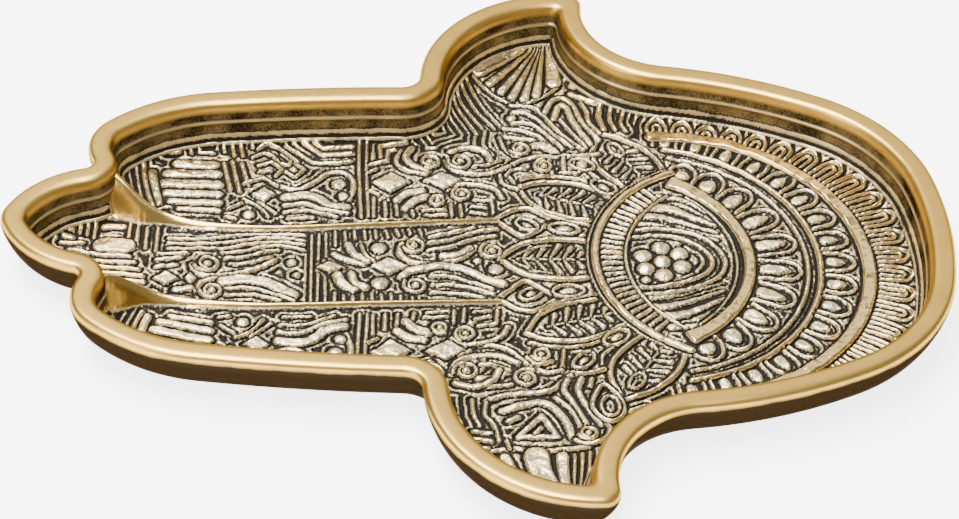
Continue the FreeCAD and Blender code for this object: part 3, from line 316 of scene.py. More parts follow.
def draw_iris():
    folds = ((17.0, 9.5, 1.2), (20.6, 13.0, 2.0), (24.5, 16.2, 2.6), (29.0, 20.5, 1.6))
    for side in (-1, 1):
        for near, far, width in folds:
            start = 47.5 + (near - 12) ** 2 / 36
            fold = [(start, side * near), (start + 8, side * (near - 1.2)), (73.5 - near * 0.05, side * far)]
            stroke(fold, (width * 1.5, width * 0.5), 1.1)
    outer = [
        (47.0, 13.6), (55, 14.4), (64, 12.6), (71, 7.4), (73.8, 0),
        (71, -7.2), (62, -12.6), (54, -14.6), (48.5, -15),
    ]
    stroke(outer, 1.6)
    inner = [
        (47, 10.4), (54, 11.4), (62, 9.6), (68, 5), (70.0, -0.5),
        (67, -6), (60, -9.8), (52, -11.8), (47, -12),
    ]
    stroke(inner, 1.6)
    stroke([(62.5, 6.4), (66.4, 2.8), (67.2, -0.6), (65, -4.6)], 1.3, 1.0)


def draw_pupil():
    bead(PUPIL[0], -0.6, 2.7, 1.9)
    for angle in (90, 32, -20, -90, -146, 156):
        a = math.radians(angle)
        bead(PUPIL[0] + 6.2 * math.cos(a), PUPIL[1] + 6.1 * math.sin(a), 2.9, 1.8)
    bead(49.6, -8.6, 1.6, 1.2)


def draw_lashes():
    tip = 41.4
    for angle in np.linspace(131, 229, 29):
        foot = tip
        while math.dist(placed([(foot, 0)], *LASH_TIPS, angle)[0], LASH_FEET) > 37.3:
            foot -= 0.25
        if tip - foot > 1.5:
            stroke(placed([(tip, 0), (foot, 0)], *LASH_TIPS, angle), 1.85, moat=0.4, swell=1)
    stroke(arc_points(*LASH_FEET, 36.3, 127, 236), 1.1)


def draw_lids():
    stroke(arc_points(*LID, 37.0, -50, 50), 0.9, 1.0)
    plateau(arc_points(*LID, 42.7, -60, 62) + arc_points(43.5, 1.0, 35.9, 66, -64), 1.5, rub=0.7)
    stroke(arc_points(*LASH_TIPS, 45.6, 115, 247), 0.8, 0.9)
    stroke(arc_points(*LASH_TIPS, 43.4, 114, 246), 2.3, 1.6, rub=0.6)


def horseshoe(centre, angle, low, high, half, width=1.35, height=1.35):
    """An arched line that opens towards the centre, from the radius low to the radius high."""
    high -= width / 2
    wide = half - width / 2
    shoulder = max(high - wide * 1.15, low + 0.3)
    local = [(low, wide), (shoulder, wide), ((shoulder + 2 * high) / 3, wide * 0.72), (high, 0)]
    local += [(out, -across) for out, across in local[-2::-1]]
    stroke(placed(local, *centre, angle), width, height)


def drop(centre, angle, low, high, half):
    """A filled petal inside a horseshoe."""
    waist = low + (high - low) * 0.55
    local = [(low, half * 0.8), (waist, half), (high, 0), (waist, -half), (low, -half * 0.8)]
    plateau(placed(local, *centre, angle), 1.25, 0.45)


def reach_to_wall(centre, angle):
    """How far a ray from the centre runs before it comes near the wall."""
    a = math.radians(angle)
    ux, uy = math.cos(a), math.sin(a)
    reach = 60.0
    while reach < 84:
        i = int((centre[0] + reach * ux - xs[0]) / CELL)
        j = int((reach * uy - ys[0]) / CELL)
        if i >= len(xs) or inset[i, j] < 10.1:
            break
        reach += 0.4
    return reach


def draw_mandala():
    for angle in INNER_PETAL_ANGLES:
        a = math.radians(angle)
        dx = INNER_PETALS[0] - LID[0]
        low = -dx * math.cos(a) + math.sqrt(LID_RADIUS**2 - (dx * math.sin(a)) ** 2) + 0.6
        half = min(low * math.sin(math.radians(7.9)), 5.2)
        horseshoe(INNER_PETALS, angle, low, INNER_PETAL_TIP, half)
        drop(INNER_PETALS, angle, low + 0.3, INNER_PETAL_TIP - 3.2, half - 2.5)
    stroke(arc_points(*DOUBLE_RING, 48.6, -78, 78, 60), 1.4)
    stroke(arc_points(*DOUBLE_RING, 52.4, -79, 80, 60), 1.9, 1.5, rub=0.5)
    for angle in np.linspace(-80, 80, 17):
        horseshoe(DOUBLE_RING, angle, 53.9, 63.4, 4.35)
        drop(DOUBLE_RING, angle, 54.2, 60.4, 1.9)
    stroke(arc_points(*THICK_RING, 58.2, -88, 93, 80), 3.7, 1.7, rub=0.75)
    for place in range(ARCH_COUNT):
        angle = 91 - place * ARCH_PITCH
        reach = reach_to_wall(THICK_RING, angle)
        if reach > 65:
            horseshoe(THICK_RING, angle, 61.3, reach, 3.7, 1.45)
            horseshoe(THICK_RING, angle, 61.3, reach - 2.4, 1.7, 1.2)


# palm: leaves


def leaf_edge(points, width=1.8):
    stroke(points, width, 1.5, rub=0.35)


def fern(tip, foot, half, count=4, first=0.2):
    """A stem and pairs of small leaves."""
    tip, foot = np.array(tip, float), np.array(foot, float)
    run = foot - tip
    u = run / math.hypot(*run)
    n = np.array([-u[1], u[0]])
    stroke([tuple(tip + run * first * 0.6), tuple(foot)], 0.9, 1.0)
    for index in range(count):
        place = first + (0.9 - first) * index / max(count - 1, 1)
        reach = half * math.sin(math.pi * min(place * 0.8 + 0.12, 1)) * 0.9
        for side in (1, -1):
            start = tip + run * place
            end = start + u * reach * 0.45 + n * side * reach
            stroke([tuple(start + n * side * 0.6), tuple(end)], (0.8, 1.9), 1.15, moat=0.4)


# Edges of the leaves: width and points.
LEAF_EDGES = [
    (2.0, [(6.4, 0), (9.5, 3.6), (13.8, 6.7), (20, 8.4), (26.5, 8.9), (32, 8.2)]),
    (1.8, [(5.2, -17.9), (9, -14), (13.6, -9.9), (17.1, -12.0), (21, -15.2)]),
    (1.8, [(5.2, -17.9), (10.4, -21.6), (15, -22.9), (18.5, -21.4), (22, -18.6)]),
    (1.7, [(13.2, -32.6), (16.6, -25.6), (20.5, -22.0), (26, -19.4), (34, -17.6)]),
    (1.8, [(13.2, -32.6), (19.5, -35.0), (28.2, -35.1), (35.4, -32.8), (42, -28.0)]),
    (1.1, [(14, -36.4), (20, -37.9), (27, -37.9), (34, -35.7), (40, -31.4)]),
    (1.0, [(17.5, -23.4), (21.6, -19.8), (27, -17.6), (34.5, -15.4)]),
]
# The leaf that hangs from the eye's corner.
CORNER_LEAF_EDGES = [
    [(46.4, -33.0), (41.6, -37.8), (37.9, -43.3), (36.7, -49.2), (37.9, -54.4), (39.6, -59.4)],
    [(58.9, -38.4), (57.9, -43.3), (55.2, -48.9), (50.4, -53.9), (45.2, -57.2), (39.6, -59.4)],
]


def mirrored(points, side):
    return [(x, -side * y) for x, y in points]


def draw_leaves():
    fern((8.5, 0), (32, 0), 7.0, 5, 0.22)
    for side in (1, -1):
        stroke(mirrored([(9.5, 0), (13, 2.9), (17.5, 5.2), (22, 6.2)], side), 0.8, 0.9)
        for width, points in LEAF_EDGES:
            leaf_edge(mirrored(points, side), width)
        oval(15.2, side * -15.4, side * 30, (3.6, 1.1, 0.62), (1.8, 1.2, 0.6))
        oval(26.4, side * 13.9, side * -6, (4.6, 1.2, 0.52), (2.8, 1.2, 0.5))
        fern((17.0, side * 30.2), (38.5, side * 23.4), 6.2, 5, 0.2)
        for points in CORNER_LEAF_EDGES:
            leaf_edge(mirrored(points, side))
        fern((41.0, side * 56.5), (52.5, side * 37.0), 6.6, 4, 0.3)
        ring(44.2, side * 51.6, 3.5, 1.0, 0.55, side * -60)
        oval(39.4, side * 33.6, side * -38, (4.4, 1.2, 0.58), (2.3, 1.2, 0.55))
        oval(29.4, side * 43.4, side * -48, (4.0, 1.1, 0.58), (1.9, 1.1, 0.6))
        leaf_edge(mirrored([(22.6, -48.2), (29.3, -48.8), (35.2, -47.2)], side), 1.5)
        leaf_edge(mirrored([(23.9, -39.4), (23.0, -47.6)], side), 1.4)
        stroke(mirrored([(34.6, -44.6), (35.2, -40.8), (38.2, -37.6)], side), 1.1)
        stroke(mirrored([(26.0, -40.2), (31.5, -39.6)], side), 0.9)


# fingers and thumbs

# Rows of lines are (width, line, line, ...). A negative width gives square corners, and (first, last)
# a line that widens. Beads are (x, y, radius), curls (x, y, radius, start angle), fills closed shapes.
MIDDLE_FINGER = [
    (1.1, [(-49.4, 9.2), (-49.2, -21)], [(-47.2, 9.6), (-47.3, -1.6)]), (1, [(-45.2, 9.8), (-45, -0.2)]),
    (1.1, [(-47.3, -8), (-47.2, -21)], [(-45.2, -9.5), (-44.9, -20.6)]),
    (1.2, [(-42.4, 10.8), (-42.3, 4.8)], [(-39.6, 11.3), (-39.3, 6.8)], [(-36.8, 11.8), (-36.5, 8)],
     [(-33.8, 12), (-33.5, 8.4)], [(-30.4, 12.2), (-30.2, 8.6)], [(-27.4, 12.4), (-26.6, 8.6)],
     [(-24.3, 12.6), (-23.4, 9.6)], [(-20.6, 12.7), (-20, 10.4)]),
    (1.1, [(-17.3, 13), (-16.6, 10.2)]),
    (1.2, [(-42.3, -16), (-42.2, -19.8)], [(-39.6, -17), (-39.5, -19.7)], [(-36.9, -17.4), (-36.8, -19.6)],
     [(-34.2, -16.6), (-34, -19.5)], [(-31.4, -16), (-31.2, -19.4)], [(-28.6, -16.4), (-28.4, -19.3)],
     [(-25.8, -16.2), (-25.6, -19.2)], [(-23, -17), (-22.8, -19.1)], [(-19.6, -17.4), (-19.2, -19)]),
    (2.2, [(-42.6, 1), (-38.6, -1.6), (-33.8, -3.2)]), (2.6, [(-38.4, 5.2), (-36.8, 1.4), (-32.8, -1.8)]),
    (1.2, [(-34.6, 5.4), (-33.4, 0.8), (-30.8, -2)]),
    (2, [(-22.6, 5.8), (-23.2, 1.6), (-20.4, -1.6), (-15, -3), (-8.3, -1.9), (-3.9, 0.8), (-0.6, 5.2)]),
    (1.6, [(-14.2, 9.4), (-8, 11.2), (-1, 13.8)]),
    (1.5, [(-14.6, 6.3), (-8, 8.2), (-1, 11.6), (6, 13.2)],
     [(-14.8, 3.2), (-8, 4.8), (-1.5, 8.4), (5.6, 10.2)]),
    (2.4, [(-10.5, 0.6), (-6, 1.6), (-2.4, 4.4)]), (1.2, [(0.6, -3.2), (1.6, -7.2), (5, -8.8), (8.6, -7)]),
    (2.6, [(-22.8, -9), (-20.6, -6.4), (-16, -4.9), (-11.4, -3.6), (-5.8, -4.2), (-1.4, -6.6), (2.4, -9.4),
     (7.4, -11.4)]),
    (1.5, [(-14, -8.4), (-8, -8.3), (-2, -10.8), (4, -13.4)],
     [(-13.6, -12), (-7, -12), (0, -14), (4.4, -15.6)]),
    (1.4, [(-14, -15.4), (-7, -15.6), (1.4, -17.4)]), (3, [(-41.6, -8.4), (-40, -12.2), (-36.6, -14)]),
    (2.4, [(-37.4, -7.6), (-36.4, -11.2), (-33.2, -13.6)]),
    (1.2, [(-92, 7.2), (-80, 7), (-70, 9), (-60, 9.6), (-51.5, 9)],
     [(-92, 5), (-82, 4.8), (-74, 5.6), (-66, 7.4), (-58, 7.6), (-51.5, 6.8)],
     [(-92, 2.6), (-84, 2.8), (-76, 3), (-68, 4.6), (-60, 6), (-51.5, 4.8)],
     [(-76, 1.1), (-70, 1.6), (-64, 3.8), (-58, 4.2), (-51.5, 2.6)],
     [(-75, -1.6), (-69, -0.8), (-62.6, 1.8), (-59, 2.4)], [(-73.4, -4.2), (-67, -3.4), (-61, -0.6)]),
    (2, [(-84.3, -4), (-83.5, -7), (-80.2, -9.3), (-75, -9.2), (-69, -7.6), (-63.5, -4.9), (-60.2, -2.4)]),
    (1.8, [(-82.6, -16), (-81.2, -12), (-76.8, -10.4)]),
    (3.4, [(-75, -11.6), (-69, -10.6), (-62.8, -11.8), (-58.2, -14.4), (-54.3, -17.2)]),
    (1.3, [(-74, -14.6), (-66, -14.6), (-60, -16.8), (-54, -19.8)],
     [(-74, -17.6), (-66, -17.4), (-58, -19.8)]),
    (1.6, [(-95, -5.6), (-89, -4.6)]), (1.5, [(-95, -2.6), (-87.6, -1.4)]),
    (1.4, [(-94.6, 0.2), (-86, 0.6)]), (2.4, [(-88.6, -15.6), (-84.4, -14.6)]),
    (1.3, [(-90, -18), (-84, -19)]),
    (1.4, [(-101.4, 3), (-101, 18.5)], [(-98.6, 2.6), (-98.4, 17)], [(-95.4, 1.6), (-95.2, 14)]),
    (1.3, [(-118.4, 9), (-118, 14)], [(-116.2, 8), (-115.9, 15)], [(-114, 7), (-113.7, 15.4)]),
    (2.4, [(-111.4, 15.6), (-105.6, 16.4)], [(-111.2, 11.6), (-105.6, 12)]),
    (1.2, [(-103.8, 7.6), (-103.5, 17)]), (5.6, [(-111, 3.6), (-104.6, 3.4)]),
    (1.7, [(-121, 1.6), (-112, -0.6), (-103, -1.2)], [(-120, -1.6), (-111, -3.4), (-101.5, -4)],
     [(-117, -5), (-109, -6.2), (-100, -7)], [(-112, -8.2), (-105, -9), (-98.6, -9.8)]),
    (1.5, [(-107, -11.4), (-98, -12.4)]), (2.2, [(-122.6, 7.4), (-120.6, 7)]),
    (1.6, [(-123.6, 4.6), (-117, 4.6)]),
]
MIDDLE_BEADS = [
    (-29.4, 4, 2.6), (-0.2, -1.2, 1.5), (5.2, -4.6, 2.4), (-29, -11.4, 2.8), (-55.2, -3, 1.7),
    (-53.6, -8.6, 1.4),
]
MIDDLE_CURLS = [
    (-18.9, 5.4, 3.4, 200), (4.3, 3.4, 3.7, 120), (-18.6, -12.2, 3.6, 150), (-79.9, -3.6, 3.9, 190),
    (-78.2, -15.6, 3.4, 180),
]
MIDDLE_FILLS = [
    [(-48.2, -4.8), (-44, -1.9), (-38.6, -4.8), (-44, -7.6)],
    [(-32.4, -4), (-26.4, 0.2), (-19.8, -4), (-26.4, -8)],
    [(-96, -10.6), (-91.8, -7.2), (-87.6, -10.6), (-91.8, -14)],
    [(-86.6, -10.4), (-84.6, -7.4), (-82.4, -10.4), (-84.6, -13.4)],
]

SIDE_FINGER = [
    (1.3, [(-35.6, 57), (-35.6, 40), (-34.8, 18)]), (1.2, [(-33.2, 57), (-33.3, 40), (-32.6, 18.2)]),
    (-1.9, [(-38.9, 56.3), (-48.3, 55.3), (-49.8, 53), (-46.7, 50.3), (-37.9, 51.4)]),
    (-2, [(-37.9, 47.8), (-47, 46.9), (-53.9, 53.4), (-56.4, 54.4)]),
    (-1.7, [(-58.2, 50.8), (-49.6, 43.2), (-42, 42.8), (-38.2, 44.2)]),
    (-1.4, [(-59.4, 47.2), (-52.4, 39.8), (-55, 36), (-58, 38.6)]),
    (-1.3, [(-60.6, 43), (-57.2, 41.6), (-56.6, 44)]),
    (1.9, [(-59.5, 31.6), (-53.9, 30.4), (-48.9, 34.2), (-45, 38.2), (-40.8, 38.8), (-38, 36.3),
     (-37.2, 31.9), (-38.6, 26)]),
    (3, [(-58, 26.6), (-52, 27.8), (-47.4, 26.2), (-44.4, 23.2), (-39.4, 22.4)]),
    (1.7, [(-58, 22.8), (-52, 23.8), (-46, 21), (-38.8, 19.6)]),
    (1.2, [(-58, 19.8), (-50, 20.2), (-42, 17.6)]), (1.1, [(-57, 16.6), (-49, 17.2)]),
    (-1.5, [(-67, 49.5), (-64, 51.5), (-60.5, 50), (-54.6, 43.6)],
     [(-68.4, 45.4), (-65, 47.6), (-62.4, 46.4), (-60.6, 43.4)],
     [(-66.4, 41.6), (-62.4, 43.2), (-59.2, 39.8), (-61, 36.6)]),
    (1.4, [(-66, 38.4), (-62.6, 38.8)], [(-78.2, 53.4), (-77, 47.6)], [(-75.4, 54), (-74, 46)],
     [(-72.8, 54), (-71.3, 46)], [(-70.2, 54.6), (-68.4, 50)]),
    (1.5, [(-77, 42.4), (-74.6, 30)], [(-74.5, 43), (-71.7, 29)], [(-71.6, 42.4), (-69.2, 32)]),
    (-1.4, [(-98, 49.4), (-94.4, 49.2), (-93, 52.2)], [(-95.4, 45.6), (-91, 46.6), (-91, 51.4)]),
    (1.4, [(-88.4, 52.8), (-87.2, 46.8)]),
    (-1.4, [(-80.6, 52.8), (-84.4, 53.2), (-84.8, 47.4), (-80.4, 47)]), (1.3, [(-84.4, 50.4), (-81, 50)]),
    (3.4, [(-91, 41.6), (-80, 41.4)]), (3.2, [(-94, 37.2), (-79, 37)]), (3.4, [(-95, 32.4), (-78.4, 32)]),
    (2.8, [(-94, 27.9), (-78, 27.5)]), (2.4, [(-92.4, 24), (-77.6, 23.5)]),
    (1.9, [(-89.6, 20.6), (-77.6, 19.9)]), (2.6, [(-98.6, 37.6), (-97.4, 30), (-96, 23.4)]),
    (1.6, [(-101.4, 41), (-101, 36), (-99.4, 28), (-97.6, 22)]),
    (-1.3, [(-70.6, 32.6), (-64.6, 35.2), (-60.4, 31.6)]),
    (1.3, [(-70.4, 25.4), (-66, 22.4), (-62.6, 17.4)], [(-66, 24.6), (-60.4, 19)],
     [(-75, 20.6), (-70.8, 23.6)]),
    (1.2, [(-75.6, 17.4), (-72.4, 16.4)]), (-1.7, [(-32, 54.4), (-26, 55.4), (-21.5, 56.4)]),
    (-1.6, [(-28.9, 46.6), (-29.2, 51.8), (-21, 53)]),
    (-1.7, [(-24.6, 50), (-26.6, 49.6), (-27, 44.4), (-32, 43)]),
    (1.7, [(-22.6, 49.6), (-24.2, 44.4), (-21, 40.2), (-15, 38.6)]),
    (2.4, [(-19.4, 51), (-21.2, 46.4), (-18.8, 42.6), (-14.6, 40.4)]),
    (2, [(-8.6, 45.6), (-7, 41.2), (-2, 39), (5, 39.6), (10.4, 42.6)]),
    (1.4, [(-0.4, 42.6), (4, 43.6), (8, 45.6)]), (2.2, [(-7.4, 49.6), (-2, 51.6), (3, 49.6), (5, 45.6)]),
    (1.3, [(-33, 38.6), (-30.2, 40.6)]), (1.2, [(-32.4, 30.2), (-29.6, 28.6)]),
    (1.8, [(-8.2, 31), (-5, 33.8), (1, 33.6), (6, 31.6), (8, 27.6)]),
    (2.6, [(-24, 26.2), (-20.6, 29.4), (-16.4, 30.6)]), (2.8, [(-21.4, 22.4), (-18.6, 25.8), (-15, 27.8)]),
    (1.3, [(-31, 27), (-31, 18.6)]), (1.4, [(-27.6, 25), (-27.4, 18.8)]),
    (1.3, [(-24.2, 23.6), (-23.8, 19)], [(-19.4, 21.2), (-19, 19)]),
    (1.2, [(-16.2, 21.4), (-9.4, 21.8)], [(-15.4, 19.2), (-9, 19.4)]),
    (1.3, [(-7.6, 24.4), (-7.4, 19.2)], [(-4.8, 24.2), (-4.4, 19.2)]),
    (-1.3, [(-0.6, 26.6), (4.8, 26.2), (5.2, 20.6)]),
    (1.2, [(-1.4, 23.4), (3, 23)], [(-1.8, 20.6), (3.2, 20.2)]),
]
SIDE_BEADS = [(-41.8, 33.2, 2.4), (-40.4, 27.6, 1.9), (-68.6, 18.4, 2)]
SIDE_CURLS = [(-14, 44.8, 3.4, 250), (-4.4, 45, 3.8, 170), (-4.2, 29.4, 3.2, 120), (-11.6, 26, 2.6, 60)]
SIDE_FILLS = [
    [(-32.2, 34.2), (-25.8, 39.6), (-19.4, 34.8), (-26, 29)],
    [(-16.8, 35.4), (-10, 40), (-3.6, 36), (-9.4, 31.2)],
    [(-68.6, 27.6), (-64.2, 31.6), (-60.2, 27.8), (-64.2, 24)],
]

FAR_THUMB = [
    (1.3, [(-1, 94), (1.5, 86), (6, 78.6), (10, 75), (15, 73.4), (21, 76.4), (26, 81), (31.5, 88.4)]),
    ((0.8, 5), [(22.4, 105.4), (2.4, 90.6)]), ((0.8, 3), [(22.4, 105), (5.8, 84.2)]),
    ((0.8, 2.8), [(22.6, 104.6), (9.2, 79.8)], [(22.8, 104), (12.6, 77)], [(23.2, 103.4), (16.4, 76.4)]),
    ((0.8, 3), [(23.6, 103), (20.4, 78.4)]), ((0.8, 4.6), [(24.6, 103.6), (26.2, 85)]),
    ((0.8, 2.4), [(26, 104), (30.2, 92)]), (1.4, [(-4, 91), (0, 97.4), (6, 101.6), (13, 104), (19, 105)]),
    (1.2, [(-2.4, 89), (0, 80), (3, 72), (7, 64.6), (10, 60.4)],
     [(-3.8, 85), (-1.6, 77), (1.5, 69), (6.6, 61)], [(-5, 82), (-3.8, 74.6), (-0.5, 67), (3.4, 60)],
     [(-6, 77), (-5, 71.6), (-2, 64.6), (1, 58)]),
    (1.7, [(12, 73), (18, 72.4), (22, 68.6), (25, 62.6), (30, 55.4), (34, 51.6)],
     [(12.6, 69.4), (17.2, 68.6), (21.2, 64.8), (25, 58.8), (30.6, 52.6)],
     [(12.4, 64.2), (18, 63.6), (22, 59.8), (27.6, 51.8)],
     [(9.4, 61.4), (14, 60.6), (20, 57.6), (24.6, 51.4)]),
    (1.6, [(8.4, 57.4), (13, 56.6), (18.6, 55.6), (22, 52)]),
    (2, [(22.8, 69.8), (25.2, 75.4), (28.6, 77), (31.4, 74), (33.6, 67), (36.8, 60.6), (39, 56.4)]),
    (2.2, [(25.4, 66.4), (27.2, 72.6), (29.6, 72.2), (31, 66.6), (33.6, 60), (36.2, 54.4)]),
    (1.4, [(27.4, 66), (31.4, 58.6), (35, 52.6)]),
    (-2, [(31.6, 82.8), (37, 79.4), (43, 76.4), (47, 75), (46.2, 70.6)],
     [(31.2, 79.4), (36, 75.8), (40.4, 73.4), (39.6, 68), (41, 61.6)]),
    (1.7, [(34.4, 74.6), (36, 70), (36.4, 65.4), (39.4, 59.6)]),
    (1.6, [(43.8, 72.6), (43.2, 67), (44.6, 61.8)]), (1.5, [(47.6, 70), (46.6, 65), (48, 61)]),
    (1.4, [(8, 57), (9.4, 51.6), (13, 47.4), (17.6, 47.8)]), (3, [(18.8, 53), (21.6, 53.2), (25, 49.8)]),
    (1.9, [(6.9, 39.4), (13.1, 44.8), (18.8, 47.4), (28.8, 47.9), (38.4, 49.4)]),
    (1.7, [(27.5, 47), (27.5, 41.6)]), (1.2, [(9.5, 38.5), (11.4, 41), (15.5, 41.5)]),
    (1.4, [(7.6, 38.6), (8.6, 34.4), (13, 31.6)]), (1.1, [(10.6, 37.6), (12, 35)]),
    (1.4, [(3.6, 60), (3, 53), (5.6, 48.4)]), (1.3, [(0.4, 57), (0, 52)]),
]
FAR_THUMB_BEADS = [(12, 66.6, 1.8), (33.2, 44.2, 1.9)]
FAR_THUMB_CURLS = [(14.2, 51.6, 3.4, 200), (21.4, 43.2, 3.2, 90)]

NEAR_THUMB = [
    (1.7, [(-8, -42), (-5, -38.8), (1.6, -37.4), (8, -39.6), (13, -45), (18, -48.4), (23, -47.6)]),
    (1.4, [(13, -42.4), (16, -45.4), (20.4, -44)]),
    (1.9, [(1, -60.4), (7, -57.8), (13.8, -57), (19.3, -55.8), (23.2, -52), (25.4, -49.6)]),
    (1.5, [(1, -61), (0.6, -66), (3, -70), (4.2, -76)], [(-3, -60), (-2.6, -66), (-1, -70)]),
    (2.4, [(5.4, -64.4), (11.6, -61.8), (16.6, -60.6), (20.6, -63.8), (23.4, -68.8), (24.6, -74)]),
    (-1.9, [(16.4, -66), (9.6, -74.6), (20.6, -74.2), (16.4, -66)]), (1.6, [(16, -71), (14.4, -73)]),
    (2, [(7, -68.6), (9.8, -66.8)]), (1.9, [(2, -80), (8, -79), (12, -79.8), (20, -79.4), (29, -78)]),
    (1.4, [(6.4, -76), (7, -79)]), ((3, 2.6), [(5.6, -82.6), (8, -88), (12, -93)]),
    ((6.4, 5), [(14.4, -82), (15.4, -88), (18.4, -95)]),
    ((3.4, 2.6), [(21.6, -81.8), (21.6, -88), (22.4, -96)]),
    ((1.2, 0.9), [(25, -81.4), (24.6, -88), (24.2, -95)]),
    ((1.4, 0.9), [(27.2, -80.8), (26.6, -88), (25.6, -95)], [(29.4, -80), (28.6, -87), (27.4, -93)]),
    (2, [(2.4, -82.6), (4.4, -87)]), (1.7, [(-2.8, -72.6), (2, -73)], [(-2.6, -75.8), (2, -76.2)]),
    (1.4, [(-1.6, -79), (1.4, -79)]), (1.9, [(24.4, -51.4), (23.2, -55.4), (25.6, -61), (28.8, -68.6)]),
    (2, [(28.4, -51), (27.2, -55.4), (29.2, -61.6), (33, -69)]),
    (1.6, [(20.4, -58.8), (24.6, -63.4), (27, -69.6)]), (1.5, [(31.4, -50.6), (30.6, -54)]),
    (1.7, [(34.2, -67.4), (35.4, -71), (33.4, -75), (29.4, -76.6), (25.4, -75.4)]),
    (1.6, [(40.6, -64), (46, -61.8)]),
    (1.5, [(41.6, -67.4), (47.6, -65)], [(-2, -55.6), (3.6, -54.4), (8.4, -53.6)]),
    (2.2, [(-1, -51.6), (4.4, -50.4), (8, -48)]),
]
NEAR_THUMB_CURLS = [
    (17.2, -40.8, 2.9, 200), (12.8, -50.8, 3.9, 60), (-2.2, -45, 5, 100), (29.2, -72.4, 3, 200),
]


FILL_HEIGHT = 1.25
CURL_TURNS = 1.3


def draw_motifs(rows=(), fills=(), beads=(), curls=(), side=1, dome=1.3):
    """Draws the tables of a finger or thumb, as they are or mirrored to the -Y side of the fingers."""
    for width, *lines in rows:
        square = not isinstance(width, tuple) and width < 0
        for points in lines:
            stroke(on_side(points, side), -width if square else width, smooth=not square)
    for points in fills:
        plateau(on_side(points, side), FILL_HEIGHT, smooth=False)
    for x, y, radius in beads:
        bead(*on_side([(x, y)], side)[0], radius, dome)
    for x, y, radius, start in curls:
        curl(*on_side([(x, y)], side)[0], radius, side * start, side * CURL_TURNS)


# Rows along the hand: x, half the gap between the ridges, drift to one side, crest height, foot width.
RIDGES = np.array([
    (-110.0, 24.2, 0.0, 13.4, 15.0),
    (-105.6, 21.2, 0.0, 11.0, 13.0),
    (-98.6, 18.3, -1.4, 6.0, 9.4),
    (-91.8, 17.7, -2.8, 3.3, 6.0),
    (-81.2, 17.2, -4.5, 2.2, 4.7),
    (-61.6, 17.1, -5.3, 1.9, 3.4),
    (-30.8, 17.5, -3.4, 1.9, 3.0),
    (5.6, 18.2, -1.1, 1.7, 2.6),
])
RIDGE_END = 6.5
ridge_rows = smooth_line(RIDGES, step=2.0)


def along_ridge(x, column):
    return np.interp(x, ridge_rows[:, 0], ridge_rows[:, column])


def drift(x):
    return along_ridge(x, 2)


def on_side(points, side):
    """Points on the +Y side of the fingers' drifting middle line, or their mirror image."""
    if side > 0:
        return points
    return [(x, 2 * float(drift(x)) - y) for x, y in points]


def draw_fingers():
    draw_motifs(MIDDLE_FINGER, MIDDLE_FILLS, MIDDLE_BEADS, MIDDLE_CURLS)
    for side in (1, -1):
        draw_motifs(SIDE_FINGER, SIDE_FILLS, SIDE_BEADS, SIDE_CURLS, side)


def draw_thumbs():
    draw_motifs(FAR_THUMB, beads=FAR_THUMB_BEADS, dome=1.4)
    ring(33.2, 44.2, 4.0, 1.1, 0.6, -20)
    draw_motifs(curls=FAR_THUMB_CURLS)
    draw_motifs(NEAR_THUMB)
    petal = [
        (34.3, -53.4), (31.2, -59.4), (31.6, -64.4), (35.8, -68),
        (39.4, -65), (39.6, -60.4), (37.4, -56),
    ]
    stroke(petal, 1.6, 1.4, closed=True)
    ring(36.0, -61.8, 2.6, 1.1, 1.5)
    draw_motifs(curls=NEAR_THUMB_CURLS)


draw_leaves()
draw_thumbs()
draw_fingers()
draw_mandala()
draw_iris()
draw_pupil()
draw_lashes()
draw_lids()

# relief: the ground between the shapes, the ridges and the wall's foot


def blurred(field, reach):
    """A soft copy of a field, by three box blurs along each axis."""
    size = max(1, round(reach / CELL))
    span = 2 * size + 1
    for axis in (0, 1):
        for _ in range(3):
            margins = [(size + 1, size) if a == axis else (0, 0) for a in (0, 1)]
            total = np.moveaxis(np.cumsum(np.pad(field, margins, mode="edge"), axis), axis, 0)
            field = np.moveaxis((total[span:] - total[:-span]) / span, 0, axis)
    return field


def distance_to(solid, reach):
    """Distance in millimetres from every cell to the nearest solid one, by passing nearest cells on."""
    here = np.indices(solid.shape)
    near = np.where(solid, here, -9999)
    gap = np.hypot(*(here - near))
    step = 1 << int(math.log2(reach / CELL))
    while step:
        for shift in [(dx, dy) for dx in (-step, 0, step) for dy in (-step, 0, step)]:
            passed = np.roll(near, shift, (1, 2))
            new_gap = np.hypot(*(here - passed))
            closer = new_gap < gap
            near, gap = np.where(closer, passed, near), np.where(closer, new_gap, gap)
        step //= 2
    return gap * CELL


ECHO_START = 0.75
ECHO_PITCH = 2.15
ECHO_CREST = 0.62
CARVING_EDGE = 10.2


def echo_lines():
    """Thinner lines that follow the shapes and fill the ground between them."""
    clear = distance_to(relief > 0.25, reach=12)
    echo = np.abs((clear - ECHO_START) % ECHO_PITCH - ECHO_CREST)
    echo = np.clip((0.66 - echo) / 0.6, 0, 1) * (clear > ECHO_START)
    echo *= 0.75 + 0.25 * np.sin(grid_x * 0.9 + 2 * np.sin(grid_y * 0.5))
    return 0.95 * (1 - (1 - echo) ** 2) * (inset > CARVING_EDGE)


WALL_LINES_START = 8.0
WALL_LINES_END = 10.3
WALL_LINE_PITCH = 1.15
COVE_START = 12.0
COVE_WIDTH = 3.8
COVE_RISE = 4.6


def wall_lines():
    """Two lines that run round the wall's foot."""
    along = inset - WALL_LINES_START
    line = np.clip(1 - np.abs(along % WALL_LINE_PITCH - WALL_LINE_PITCH / 2) / 0.5, 0, 1)
    line = line * (np.abs(along - WALL_LINE_PITCH) < WALL_LINE_PITCH)
    return 0.8 * (1 - (1 - line) ** 2)


def grain(reach):
    field = blurred(chance.standard_normal(grid_x.shape), reach)
    return field / field.std()


